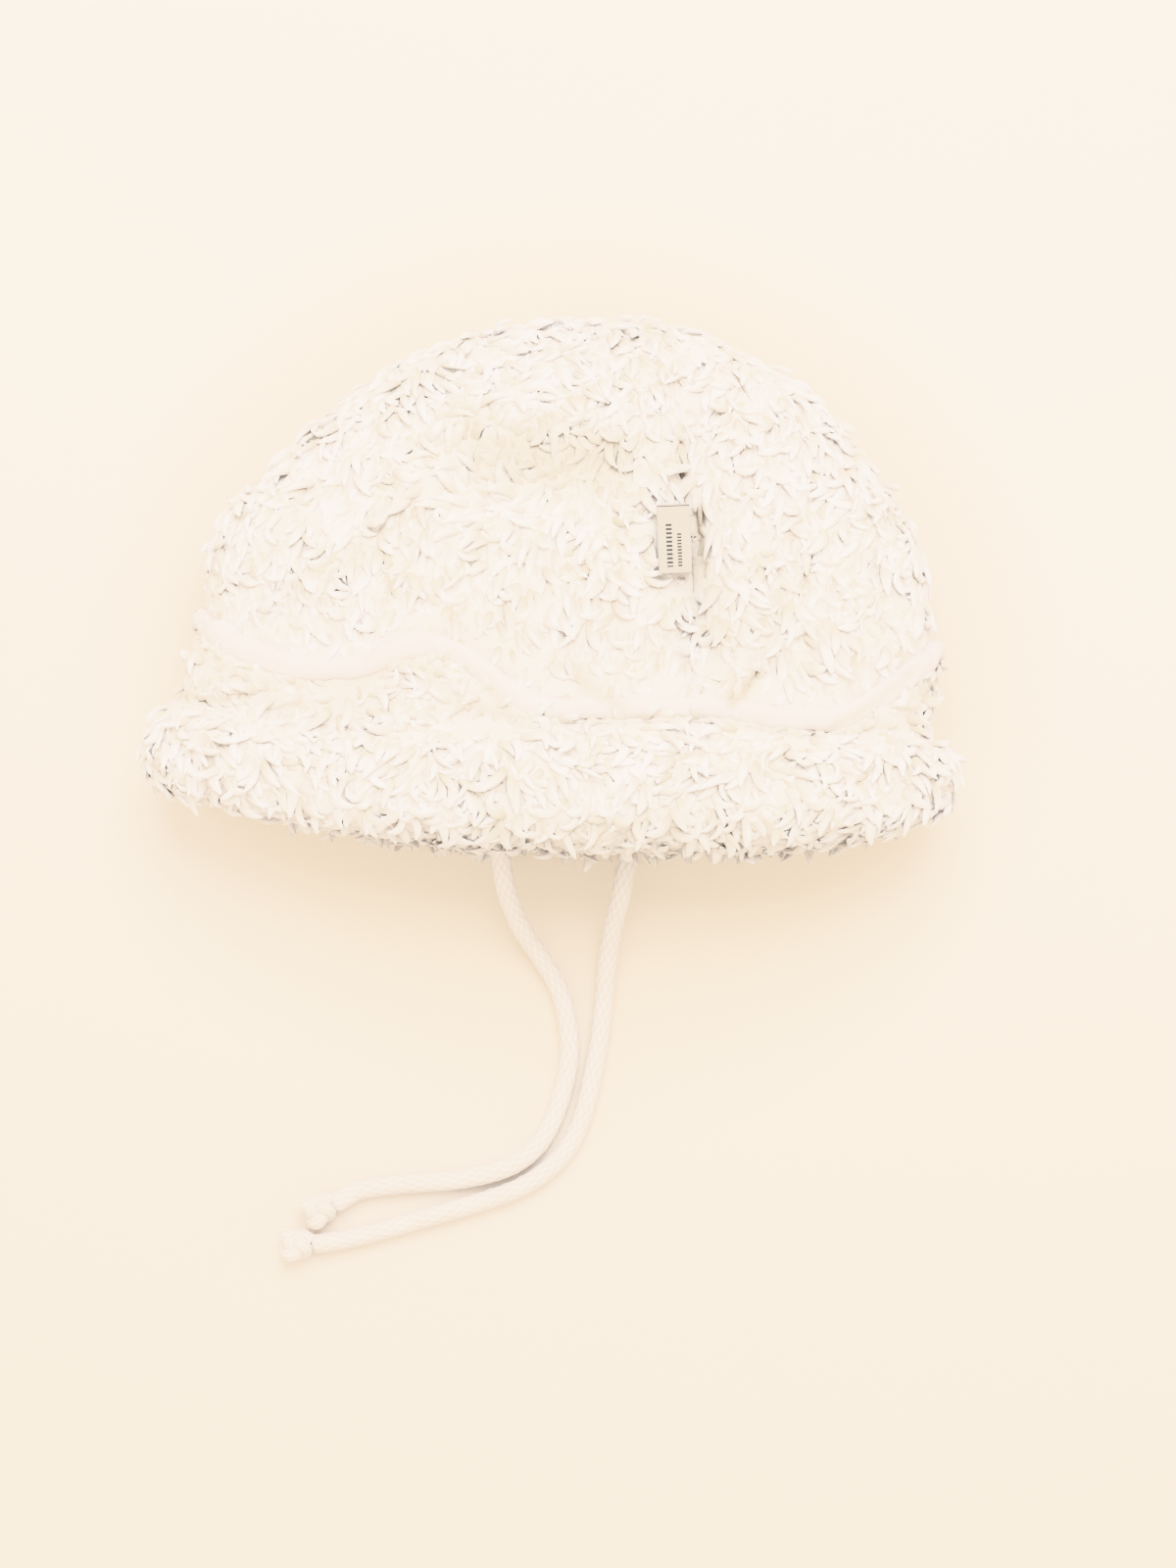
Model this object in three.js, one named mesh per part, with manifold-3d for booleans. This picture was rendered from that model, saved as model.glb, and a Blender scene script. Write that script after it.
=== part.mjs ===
// A baby's pile-lined cap with a turned-up brim and two chin ties, lying on its side on a table.
// Millimetres, +Z up. X runs across the mouth, Y from the mouth to the crown's top.
import * as THREE from "three";
import Module from "manifold-3d";
import { mergeVertices } from "three/addons/utils/BufferGeometryUtils.js";

const wasm = await Module();
wasm.setup();

// Crown
const capLength = 156; // mouth to the crown's top
const leftReach = 130; // from the crown's top out to the left fold
const rightReach = 92; // and out to the right fold
const crownHeight = 57.5; // table to the crown's upper side
const pileWall = 7; // backing and pile together
const lockHeight = 1.8; // how far a lock of pile stands proud
const lockWidth = 9;
const lockLength = 12;
const mouthRiseLeft = 16; // the mouth's edge curves up towards the left fold
const mouthRiseRight = 9; // and less, and later, towards the right one
const mouthBendLeft = 2.2;
const mouthBendRight = 5;
const foldStart = 9; // the folds grow to their depth over this much above the binding

// Brim, turned up round the mouth
const rollWidth = 38;
const rollThickness = 14;
const flapReach = 22; // the highest lobe of the flap above the crease
const flapThickness = 5;
const footWidth = 8; // what turns in under the crown's lower rim
const seamNotch = 2.4; // the side seam pulls the roll in

// Binding over the flap's edge
const bindingWidth = 6.4;
const bindingCloth = 1;
const bindingSlot = 3.6;

// Side seam and the label sewn into it
const seamAcross = 0.242; // of the right reach
const seamDepth = 5.5;
const seamHalfWidth = 6.5;
const labelLength = 20;
const labelWidth = 9.6;
const labelCloth = 0.8;
const labelClear = 1; // over the pile's crests and the bottom of the seam
const labelUp = 0.575; // of the cap's length
const labelTurn = 2.5; // degrees

// Ties
const tieDiameter = 6;
const knotWrap = 3.2; // radius of the turn that a knot takes round its cord
const tieSides = 8;
const tieSteps = 36;

const gap = 0.3; // between pieces that are sewn or rest together
const clothGap = 0.6; // between cloth faces that curve together
const columnCount = 68;
const outerRows = 27;
const innerRows = 7;

// Where the crown's top stands, so that the brim's two ends lie evenly about X = 0
const mouthLeft = 0.965;
const mouthRight = 0.93;
const crownTopX =
  (leftReach * mouthLeft - rightReach * mouthRight) / 2;
const mouthY = -capLength / 2;
const seamAngle = Math.acos(seamAcross);

// The crown's cross sections. turn is in degrees: 0 at the mouth and 90 at the crown's top.
// left and right are shares of the reaches, and high and fold of the crown's height.
// low is how far the underside is lifted, as a share of the roll that lies under it.
const sections = [
  { turn: 0, left: mouthLeft, right: mouthRight, high: 0.885, fold: 0.54, low: 1 },
  { turn: 7, left: 0.965, right: 0.945, high: 0.9, fold: 0.53, low: 1 },
  { turn: 14, left: 0.94, right: 0.965, high: 0.93, fold: 0.51, low: 0.82 },
  { turn: 20, left: 0.918, right: 0.99, high: 0.96, fold: 0.49, low: 0.6 },
  { turn: 26, left: 0.93, right: 1.005, high: 0.985, fold: 0.475, low: 0.44 },
  { turn: 31, left: 0.93, right: 0.99, high: 1, fold: 0.46, low: 0.2 },
  { turn: 37, left: 0.875, right: 0.935, high: 1, fold: 0.45, low: -0.1 },
  { turn: 45, left: 0.77, right: 0.81, high: 0.975, fold: 0.44, low: -0.2 },
  { turn: 54, left: 0.645, right: 0.69, high: 0.91, fold: 0.43, low: -0.2 },
  { turn: 60, left: 0.56, right: 0.58, high: 0.855, fold: 0.42, low: -0.15 },
  { turn: 66, left: 0.475, right: 0.46, high: 0.79, fold: 0.42, low: -0.05 },
  { turn: 73, left: 0.37, right: 0.335, high: 0.705, fold: 0.42, low: 0.2 },
  { turn: 80, left: 0.245, right: 0.21, high: 0.61, fold: 0.42, low: 0.65 },
  { turn: 86, left: 0.11, right: 0.095, high: 0.51, fold: 0.42, low: 1.2 },
  { turn: 90, left: 0, right: 0, high: 0.42, fold: 0.42, low: 1.64 },
];

// The brim's edges, by degrees round the mouth from the right fold over the upper side.
// crease is a share of the roll's width, and flap of the flap's reach above the crease.
const brimEdges = [
  { around: 0, crease: 0.635, flap: 0.98 },
  { around: 12, crease: 0.65, flap: 0.92 },
  { around: 27, crease: 0.72, flap: 0.55 },
  { around: 36, crease: 0.79, flap: 0.26 },
  { around: 44, crease: 0.82, flap: 0.08 },
  { around: 56, crease: 0.86, flap: 0.03 },
  { around: 66, crease: 0.94, flap: 0.03 },
  { around: 77, crease: 0.97, flap: 0.03 },
  { around: 99, crease: 0.955, flap: 0.03 },
  { around: 103, crease: 0.96, flap: 0.1 },
  { around: 107, crease: 0.94, flap: 0.38 },
  { around: 113, crease: 0.895, flap: 0.83 },
  { around: 119, crease: 0.835, flap: 0.97 },
  { around: 127, crease: 0.775, flap: 0.68 },
  { around: 135, crease: 0.725, flap: 0.6 },
  { around: 151, crease: 0.74, flap: 0.64 },
  { around: 172, crease: 0.77, flap: 0.84 },
  { around: 190, crease: 0.77, flap: 0.82 },
  { around: 225, crease: 0.825, flap: 0.5 },
  { around: 270, crease: 0.95, flap: 0.4 },
  { around: 315, crease: 0.88, flap: 0.6 },
  { around: 342, crease: 0.69, flap: 0.88 },
];

// Soft folds pressed into the crown's upper side. across runs from -1 at the left fold to 1 at
// the right one, up from 0 at the mouth to 1 at the top. depth is a share of the seam's depth,
// and wide of its half width. Each runs from its first place to its last, bowed to the right.
const folds = [
  { across: 0.58, up: 0.65, toAcross: 0.42, toUp: 0.29, bow: 0.12, depth: 0.6, wide: 1.1 },
  { across: 0.42, up: 0.3, toAcross: 0.34, toUp: 0.25, bow: 0, depth: 0.5, wide: 1 },
  { across: -0.13, up: 0.5, toAcross: -0.03, toUp: 0.26, bow: -0.02, depth: 0.45, wide: 1.2 },
  { across: -0.57, up: 0.62, toAcross: -0.48, toUp: 0.42, bow: 0.03, depth: 0.3, wide: 1.5 },
  { across: -0.34, up: 0.765, toAcross: -0.08, toUp: 0.72, bow: 0, depth: 0.75, wide: 2.2 },
  { across: -0.75, up: 0.7, toAcross: -0.6, toUp: 0.84, bow: 0.02, depth: 0.25, wide: 1.4 },
];

const radians = THREE.MathUtils.degToRad;
const lerp = THREE.MathUtils.lerp;
const smoothstep = THREE.MathUtils.smoothstep;

// A column of a table at a key, on a smooth curve through its rows. A period closes the table.
function lookUp(rows, key, column, at, period = 0) {
  const count = rows.length;
  const row = (i) =>
    period
      ? {
          at: rows[(i + count) % count][key] + Math.floor(i / count) * period,
          value: rows[(i + count) % count][column],
        }
      : {
          at: rows[Math.min(Math.max(i, 0), count - 1)][key],
          value: rows[Math.min(Math.max(i, 0), count - 1)][column],
        };
  let i = 0;
  const last = period ? count - 1 : count - 2;
  while (i < last && at > row(i + 1).at) i += 1;
  const [before, from, to, after] = [row(i - 1), row(i), row(i + 1), row(i + 2)];
  const span = to.at - from.at;
  const share = (at - from.at) / span;
  const slope = (a, b) => (b.at > a.at ? (b.value - a.value) / (b.at - a.at) : 0);
  const start = slope(before, to) * span;
  const end = slope(from, after) * span;
  const s2 = share * share;
  const s3 = s2 * share;
  return (
    from.value * (2 * s3 - 3 * s2 + 1) +
    start * (s3 - 2 * s2 + share) +
    to.value * (3 * s2 - 2 * s3) +
    end * (s3 - s2)
  );
}

// How far the mouth's edge has curved up at an angle round the mouth.
function mouthRise(angle) {
  const c = Math.cos(angle);
  return c < 0
    ? mouthRiseLeft * Math.abs(c) ** mouthBendLeft
    : mouthRiseRight * c ** mouthBendRight;
}

// The three heights of the brim at an angle round the mouth, in Y.
function brimHeights(angle) {
  const degrees = THREE.MathUtils.euclideanModulo(THREE.MathUtils.radToDeg(angle), 360);
  const bottom = mouthY + mouthRise(angle);
  const crease = bottom + rollWidth * lookUp(brimEdges, "around", "crease", degrees, 360);
  const edge = crease + flapReach * lookUp(brimEdges, "around", "flap", degrees, 360);
  return { bottom, crease, edge };
}

// How deep the seam and the folds press the crown's upper side in, at a place across and up.
function foldDepth(across, up) {
  const seamX = (across - seamAcross) * rightReach;
  const seamReach = smoothstep(up, 0.2, 0.3) * (1 - 0.75 * smoothstep(up, 0.78, 0.95));
  let depth = seamDepth * seamReach * Math.exp(-((seamX / seamHalfWidth) ** 2));
  for (const fold of folds) {
    const long = new THREE.Vector2(fold.toAcross - fold.across, fold.toUp - fold.up);
    const to = new THREE.Vector2(across - fold.across, up - fold.up);
    const share = THREE.MathUtils.clamp(to.dot(long) / long.lengthSq(), 0, 1);
    const bow = fold.bow * 4 * share * (1 - share);
    const offX = to.x - long.x * share - bow;
    const offY = to.y - long.y * share;
    const reach = across < 0 ? leftReach : rightReach;
    const away = Math.hypot(offX * reach, offY * capLength);
    const fade = Math.exp(-((away / (seamHalfWidth * fold.wide)) ** 2));
    depth += seamDepth * fold.depth * fade;
  }
  return depth;
}

// A point of the crown at a share of the way up from the mouth, at an angle round it, set in by
// the wall. The angle is 0 at the right fold and a quarter turn in the middle of the upper side.
function crownPoint(up, angle, inset = 0) {
  const turn = THREE.MathUtils.radToDeg(Math.asin(Math.min(up, 1)));
  const at = (column) => lookUp(sections, "turn", column, turn);
  const c = Math.cos(angle);
  const s = Math.sin(angle);
  const reach = c < 0 ? (leftReach - inset) * at("left") : (rightReach - inset) * at("right");
  const fold = crownHeight * at("fold");
  const high = Math.max(crownHeight * at("high"), fold) - inset;
  const low = Math.min((rollThickness + clothGap) * at("low"), fold) + inset;
  const rise = mouthRise(angle);
  const y = lerp(mouthY + rise, -mouthY - inset, up);
  const closing = Math.sqrt(Math.max(1 - up * up, 0));
  let z =
    s > 0
      ? fold + Math.max(high - fold, 0) * s ** 0.85
      : fold - Math.max(fold - low, 0) * (-s) ** 0.6;
  if (s > 0) {
    const bound = brimHeights(angle).edge + bindingWidth;
    const clear = smoothstep(y, bound, bound + foldStart);
    const across = c * (c < 0 ? at("left") : at("right"));
    z -= foldDepth(across, up) * clear * smoothstep(s, 0, 0.5) * Math.min(closing * 3, 1);
  }
  return new THREE.Vector3(crownTopX + reach * c, y, Math.max(z, inset));
}

// Angles round the mouth that put the columns evenly along the crown's section, from the seam on.
function evenAngles(count) {
  const fine = 720;
  const angleAt = (i) => seamAngle + (i / fine) * 2 * Math.PI;
  const lengths = [0];
  let from = crownPoint(0.3, seamAngle);
  for (let i = 1; i <= fine; i += 1) {
    const to = crownPoint(0.3, angleAt(i));
    lengths.push(lengths[i - 1] + to.distanceTo(from));
    from = to;
  }
  return Array.from({ length: count }, (_, column) => {
    const target = (column / count) * lengths[fine];
    let i = 0;
    while (lengths[i + 1] < target) i += 1;
    const share = (target - lengths[i]) / (lengths[i + 1] - lengths[i]);
    return angleAt(i + share);
  });
}

const angles = evenAngles(columnCount);

// The way out from the crown's side at a point, square to Y.
function outward(up, angle) {
  const step = 0.02;
  const along = crownPoint(up, angle + step).sub(crownPoint(up, angle - step));
  return new THREE.Vector3(along.z, 0, -along.x).normalize();
}

// A point of the brim or the binding: at a height in Y, and some way out from the crown.
function wrapPoint(y, angle, out) {
  const rise = mouthRise(angle);
  const up = (y - mouthY - rise) / (2 * -mouthY - rise);
  const point = crownPoint(Math.max(up, 0), angle);
  point.y = y;
  point.addScaledVector(outward(Math.max(up, 0), angle), out);
  point.z = Math.max(point.z, 0);
  return point;
}

// How far the locks of pile stand out at a point: lumps in staggered rows, longer up the cap.
function lock(point) {
  const wide = (Math.PI * (point.x + 0.5 * point.z)) / lockWidth;
  const long = (Math.PI * (point.y + 0.4 * point.z)) / lockLength;
  const lump = Math.cos(wide + 0.35 * Math.sin(long * 0.7)) * Math.cos(long + 0.4 * Math.sin(wide * 0.6));
  return lockHeight * (lump > 0 ? lump : 0.35 * lump);
}

// One closed body from rows of points. Each row goes round, and the rows either meet in a point
// at both ends or close on themselves.
function gridSolid(rows, startPoint, endPoint) {
  const points = rows.flat();
  const count = rows[0].length;
  const faces = [];
  const quad = (a, b, c, d) => faces.push(a, b, c, a, c, d);
  const closed = !startPoint;
  const bands = closed ? rows.length : rows.length - 1;
  for (let r = 0; r < bands; r += 1) {
    const next = (r + 1) % rows.length;
    for (let i = 0; i < count; i += 1) {
      const j = (i + 1) % count;
      quad(r * count + i, r * count + j, next * count + j, next * count + i);
    }
  }
  if (!closed) {
    const start = points.push(startPoint) - 1;
    const end = points.push(endPoint) - 1;
    const lastRow = (rows.length - 1) * count;
    for (let i = 0; i < count; i += 1) {
      const j = (i + 1) % count;
      faces.push(start, j, i);
      faces.push(end, lastRow + i, lastRow + j);
    }
  }
  const solid = new wasm.Manifold(
    new wasm.Mesh({
      numProp: 3,
      vertProperties: new Float32Array(points.flatMap((p) => [p.x, p.y, p.z])),
      triVerts: new Uint32Array(faces),
    }),
  );
  if (solid.volume() > 0) return solid;
  const turned = faces.map((_, k) => faces[k - (k % 3) + (2 - (k % 3))]);
  return new wasm.Manifold(
    new wasm.Mesh({
      numProp: 3,
      vertProperties: new Float32Array(points.flatMap((p) => [p.x, p.y, p.z])),
      triVerts: new Uint32Array(turned),
    }),
  );
}

// A closed three.js geometry as a solid.
function solidOf(geometry) {
  const bare = geometry.clone();
  bare.deleteAttribute("normal");
  bare.deleteAttribute("uv");
  const merged = mergeVertices(bare, 1e-4);
  return new wasm.Manifold(
    new wasm.Mesh({
      numProp: 3,
      vertProperties: new Float32Array(merged.attributes.position.array),
      triVerts: new Uint32Array(merged.index.array),
    }),
  );
}

// A solid as a named mesh.
function meshOf(name, solid, material) {
  const made = solid.getMesh();
  const geometry = new THREE.BufferGeometry();
  geometry.setAttribute("position", new THREE.BufferAttribute(new Float32Array(made.vertProperties), 3));
  geometry.setIndex(new THREE.BufferAttribute(new Uint32Array(made.triVerts), 1));
  geometry.computeVertexNormals();
  const mesh = new THREE.Mesh(geometry, material);
  mesh.name = name;
  return mesh;
}

// A point of the crown's outside with its pile, which lies flat under the brim and on the table.
function pilePoint(up, angle) {
  const point = crownPoint(up, angle);
  const free = brimHeights(angle).edge + bindingWidth + 2;
  const closing = smoothstep(Math.sqrt(1 - up * up), 0.1, 0.4);
  const loose = smoothstep(point.y, free, free + 8) * smoothstep(point.z, 3, 9) * closing;
  point.addScaledVector(outward(Math.min(up, 0.97), angle), lock(point) * loose);
  return point.setZ(Math.max(point.z, 0));
}

// The whole crown: a hollow dome, open at the mouth.
function crownSolid() {
  const upAt = (share, angle) => {
    const rim = Math.asin((footWidth + gap) / (capLength - mouthRise(angle)));
    return Math.sin(lerp(rim, Math.PI / 2, share));
  };
  const outer = Array.from({ length: outerRows }, (_, row) =>
    angles.map((angle) => pilePoint(upAt(row / outerRows, angle), angle)),
  );
  const inner = Array.from({ length: innerRows }, (_, row) =>
    angles.map((angle) => {
      const point = crownPoint(upAt(row / innerRows, angle), angle, pileWall);
      if (row === 0) point.y = mouthY + mouthRise(angle) + footWidth + gap;
      return point;
    }),
  );
  const top = crownPoint(1, 0);
  const innerTop = crownPoint(1, 0, pileWall);
  return gridSolid([...outer.reverse(), ...inner], top, innerTop);
}

// The plan line of the side seam, from below the mouth to past the crown's top.
function seamLine() {
  const steps = 24;
  const line = Array.from({ length: steps + 1 }, (_, i) => {
    const up = Math.sin((i / steps) * (Math.PI / 2));
    const reach = rightReach * lookUp(sections, "turn", "right", 90 * (i / steps));
    return new THREE.Vector2(crownTopX + seamAcross * reach, lerp(mouthY, -mouthY, up));
  });
  const far = capLength;
  return [
    new THREE.Vector2(line[0].x, mouthY - far),
    ...line,
    new THREE.Vector2(crownTopX, -mouthY + far),
  ];
}

// One side of the seam as a tall block, half a gap short of the seam.
function seamSide(side) {
  const far = leftReach + rightReach;
  const edge = seamLine().map((p) => new THREE.Vector2(p.x + (side * gap) / 2, p.y));
  const outline = new THREE.Shape([
    ...edge,
    new THREE.Vector2(crownTopX + side * far, edge[edge.length - 1].y),
    new THREE.Vector2(crownTopX + side * far, edge[0].y),
  ]);
  const block = new THREE.ExtrudeGeometry(outline, { depth: 3 * crownHeight, bevelEnabled: false });
  block.translate(0, 0, -crownHeight);
  return solidOf(block);
}

// The brim's section as a loop. base is where along is measured from: foot and roll run from the
// bottom to the crease, flap from the crease to the bound edge, tongue from there into the
// binding. out is in millimetres from the crown.
function brimSection() {
  const roll = (along, share) => ({ base: "roll", along, out: clothGap + rollThickness * share });
  const flap = (along, share) => ({ base: "flap", along, out: clothGap + flapThickness * share });
  const tongueIn = clothGap + bindingCloth + gap;
  const tongueOut = clothGap + flapThickness - bindingCloth - gap;
  const tongueTop = bindingSlot - gap;
  return [
    flap(1, 0),
    flap(0.4, 0),
    roll(0.9, 0),
    roll(0.6, 0),
    { base: "foot", along: footWidth, out: clothGap },
    { base: "foot", along: footWidth, out: -pileWall },
    { base: "foot", along: footWidth * 0.25, out: -pileWall },
    { base: "foot", along: 0, out: -pileWall * 0.5 },
    roll(0, 0.35),
    roll(0.07, 0.72),
    roll(0.22, 0.95),
    roll(0.48, 1),
    roll(0.72, 0.93),
    roll(0.9, 0.68),
    roll(1, 0.28),
    flap(0.35, 1),
    flap(1, 1),
    { base: "tongue", along: 0, out: tongueOut },
    { base: "tongue", along: tongueTop, out: tongueOut },
    { base: "tongue", along: tongueTop, out: tongueIn },
    { base: "tongue", along: 0, out: tongueIn },
  ];
}

// The brim: a thick roll round the mouth with a flap of varying height above its crease.
function brimSolid() {
  const rows = brimSection().map(({ base, along, out }) =>
    angles.map((angle) => {
      const { bottom, crease, edge } = brimHeights(angle);
      const y = {
        foot: bottom + along,
        roll: lerp(bottom, crease, along),
        flap: lerp(crease, edge, along),
        tongue: edge + along,
      }[base];
      const round = base === "roll" && out > clothGap && along > 0 && along < 1;
      const across = Math.cos(angle) - seamAcross;
      const upper = Math.sin(angle) > 0 ? 1 : 0;
      const notch = seamNotch * upper * Math.exp(-((across / 0.05) ** 2));
      const flat = wrapPoint(y, angle, out);
      return round ? wrapPoint(y, angle, out + lock(flat) * 0.8 - notch) : flat;
    }),
  );
  return gridSolid(rows);
}

// The binding: a tape folded over the flap's edge.
function bindingSolid() {
  const full = flapThickness;
  const section = [
    { along: 0, out: 0 },
    { along: bindingWidth * 0.75, out: 0 },
    { along: bindingWidth, out: full * 0.5 },
    { along: bindingWidth * 0.75, out: full },
    { along: 0, out: full },
    { along: 0, out: full - bindingCloth },
    { along: bindingSlot, out: full - bindingCloth },
    { along: bindingSlot, out: bindingCloth },
    { along: 0, out: bindingCloth },
  ];
  const rows = section.map(({ along, out }) =>
    angles.map((angle) => wrapPoint(brimHeights(angle).edge + gap + along, angle, clothGap + out)),
  );
  return gridSolid(rows);
}

// The share of the right reach that a section takes at a height up the crown.
function rightShare(up) {
  return lookUp(sections, "turn", "right", THREE.MathUtils.radToDeg(Math.asin(up)));
}

// The label: a folded tape that rises out of the seam and lies over the pile to its left.
function labelMesh(material) {
  const seamX = crownTopX + seamAcross * rightReach * rightShare(labelUp);
  const halfUp = labelLength / 2 / capLength;
  const heightsAt = (across) =>
    [-1, -0.5, 0, 0.5, 1].map((share) => {
      const up = labelUp + share * halfUp;
      return pilePoint(up, Math.acos(across / rightShare(up))).z;
    });
  const labelAcross = labelWidth / rightReach;
  const under = [1, 0.75, 0.5, 0.25].flatMap((share) => heightsAt(seamAcross - share * labelAcross));
  const seat = Math.max(...under) + labelClear;
  const edges = [-1.5, 0, 0.5].map((share) => seamAcross + (share * labelCloth) / rightReach);
  const leg = seat - Math.max(...edges.flatMap(heightsAt)) - labelClear;
  const profile = new THREE.Shape([
    new THREE.Vector2(-labelWidth, 0),
    new THREE.Vector2(-labelCloth, 0),
    new THREE.Vector2(-labelCloth, -leg),
    new THREE.Vector2(0, -leg),
    new THREE.Vector2(0, labelCloth * 0.6),
    new THREE.Vector2(-labelCloth * 0.4, labelCloth),
    new THREE.Vector2(-labelWidth, labelCloth),
  ]);
  const geometry = new THREE.ExtrudeGeometry(profile, { depth: labelLength, bevelEnabled: false });
  geometry.translate(0, 0, -labelLength / 2);
  geometry.rotateX(Math.PI / 2);
  const mesh = new THREE.Mesh(geometry, material);
  mesh.name = "label";
  mesh.rotation.z = radians(labelTurn);
  mesh.position.set(seamX, lerp(mouthY, -mouthY, labelUp), seat);
  return mesh;
}

// Points down the middle of each tie, chosen by hand: from where it is sewn inside the mouth,
// over the brim, and along the table to its knot.
const tieRoutes = {
  left: [
    [-14.6, -56, 41.3],
    [-14.5, -66, 40.7],
    [-14.3, -75, 37.0],
    [-13.8, -83, 31.0],
    [-12.2, -92, 22.6],
    [-8.2, -102.5, 12.2],
    [-2.2, -112, 5.4],
    [2.8, -121, 3.4],
    [5.4, -131, 3.3],
    [6.0, -141, 3.3],
    [4.2, -151, 3.3],
    [0.9, -160.6, 3.3],
    [-3.7, -168.2, 3.3],
    [-10, -173.4, 3.3],
    [-17.2, -176.3, 3.3],
    [-27.4, -178.4, 3.3],
    [-38, -179.3, 3.3],
    [-48.6, -180.2, 3.3],
    [-57.6, -181.8, 3.3],
    [-64.2, -185.4, 4.4],
  ],
  right: [
    [23.2, -54, 25.2],
    [23.2, -64, 25.2],
    [23.1, -74, 25.2],
    [22.9, -82, 24.6],
    [21.4, -92, 19.6],
    [18.9, -103, 11],
    [17.3, -114, 5],
    [16.4, -125, 3.4],
    [14.9, -137, 3.3],
    [12.6, -149, 3.3],
    [10, -159.4, 3.3],
    [5.8, -168.4, 3.3],
    [-0.2, -175.2, 3.3],
    [-8.4, -180.6, 3.3],
    [-17, -184, 3.3],
    [-27.6, -187.2, 3.3],
    [-38.2, -190.2, 3.3],
    [-48.8, -193.2, 3.3],
    [-59.6, -196, 3.3],
    [-70.4, -197.6, 4.6],
  ],
};

// A tie as a round cord along its route.
function tieMesh(name, route, material) {
  const curve = new THREE.CatmullRomCurve3(route.map((p) => new THREE.Vector3(...p)));
  const radius = tieDiameter / 2;
  const section = new THREE.Shape(
    Array.from({ length: tieSides }, (_, i) => {
      const a = (i / tieSides) * 2 * Math.PI;
      return new THREE.Vector2(radius * Math.cos(a), radius * Math.sin(a));
    }),
  );
  const geometry = new THREE.ExtrudeGeometry(section, {
    steps: tieSteps,
    extrudePath: curve,
    bevelEnabled: false,
  });
  const mesh = new THREE.Mesh(geometry, material);
  mesh.name = name;
  return mesh;
}

// A tight overhand knot just past a tie's end: a slanting turn of cord round a core, and the
// cord's cut end coming out of it.
function knotMesh(name, route, material) {
  const end = new THREE.Vector3(...route[route.length - 1]);
  const before = new THREE.Vector3(...route[route.length - 2]);
  const along = end.clone().sub(before).setZ(0).normalize();
  const thick = tieDiameter * 0.47;
  const core = new THREE.SphereGeometry(knotWrap + thick * 0.55, 12, 8);
  const turn = new THREE.TorusGeometry(knotWrap, thick, 8, 14);
  turn.rotateY(radians(90));
  turn.rotateZ(radians(24));
  const stub = new THREE.CylinderGeometry(thick * 0.8, thick * 0.9, tieDiameter, 9);
  stub.rotateZ(radians(90));
  stub.translate(tieDiameter * 0.55, 0, knotWrap * 0.3);
  const solid = solidOf(core).add(solidOf(turn)).add(solidOf(stub));
  const mesh = meshOf(name, solid, material);
  const half = knotWrap + thick;
  mesh.rotation.z = Math.atan2(along.y, along.x);
  const centre = end.addScaledVector(along, half * 0.8 + gap);
  mesh.position.set(centre.x, centre.y, half);
  return mesh;
}

const pile = new THREE.MeshStandardMaterial({ color: 0xf7f1e8, roughness: 0.95, metalness: 0 });
const tape = new THREE.MeshStandardMaterial({ color: 0xf5ece0, roughness: 0.9, metalness: 0 });
const cord = new THREE.MeshStandardMaterial({ color: 0xf1e6d3, roughness: 0.85, metalness: 0 });
const woven = new THREE.MeshStandardMaterial({ color: 0xeee2cf, roughness: 0.8, metalness: 0 });

const cap = new THREE.Group();
const crown = crownSolid();
cap.add(meshOf("crown_panel_left", crown.intersect(seamSide(-1)), pile));
cap.add(meshOf("crown_panel_right", crown.intersect(seamSide(1)), pile));
cap.add(meshOf("brim", brimSolid(), pile));
cap.add(meshOf("binding", bindingSolid(), tape));
cap.add(labelMesh(woven));
for (const [side, route] of Object.entries(tieRoutes)) {
  cap.add(tieMesh(`tie_${side}`, route, cord));
  cap.add(knotMesh(`knot_${side}`, route, cord));
}

export default cap;
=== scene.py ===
"""A baby's plush nightcap with chin ties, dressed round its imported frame. Metres, +Z up."""

import math

import bmesh
import bpy
import numpy as np
from mathutils import Matrix, Vector
from mathutils.bvhtree import BVHTree


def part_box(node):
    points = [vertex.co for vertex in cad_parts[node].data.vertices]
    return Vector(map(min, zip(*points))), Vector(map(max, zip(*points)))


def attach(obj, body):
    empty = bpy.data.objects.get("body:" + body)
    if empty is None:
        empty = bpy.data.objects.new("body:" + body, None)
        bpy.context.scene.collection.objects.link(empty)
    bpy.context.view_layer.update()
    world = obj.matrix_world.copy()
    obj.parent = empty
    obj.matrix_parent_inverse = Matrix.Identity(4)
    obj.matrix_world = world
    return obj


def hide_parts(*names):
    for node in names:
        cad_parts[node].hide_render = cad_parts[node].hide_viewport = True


bl_info = {
    "name": "Plush nightcap",
    "version": (1, 0, 0),
    "blender": (4, 5, 0),
    "location": "View3D > Sidebar > Nightcap",
    "description": "Dresses the packed nightcap in loop pile, jersey binding and braided ties",
    "category": "Object",
}

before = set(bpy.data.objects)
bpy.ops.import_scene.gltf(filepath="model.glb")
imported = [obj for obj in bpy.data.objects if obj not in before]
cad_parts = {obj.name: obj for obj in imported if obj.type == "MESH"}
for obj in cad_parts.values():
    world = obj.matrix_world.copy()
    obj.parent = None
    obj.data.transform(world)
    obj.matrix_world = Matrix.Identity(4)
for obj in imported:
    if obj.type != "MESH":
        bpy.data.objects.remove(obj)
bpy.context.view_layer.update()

MM = 0.001
TURN = 2 * math.pi

# Photograph and camera
PHOTO_HEIGHT = 1600
PHOTO_SCALE = 0.289 * MM
CAMERA_PLACE = Vector((11.6, -59.2, 1250)) * MM
OUTLINE_HEIGHT = 30 * MM
SENSOR_WIDTH = 36

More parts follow.
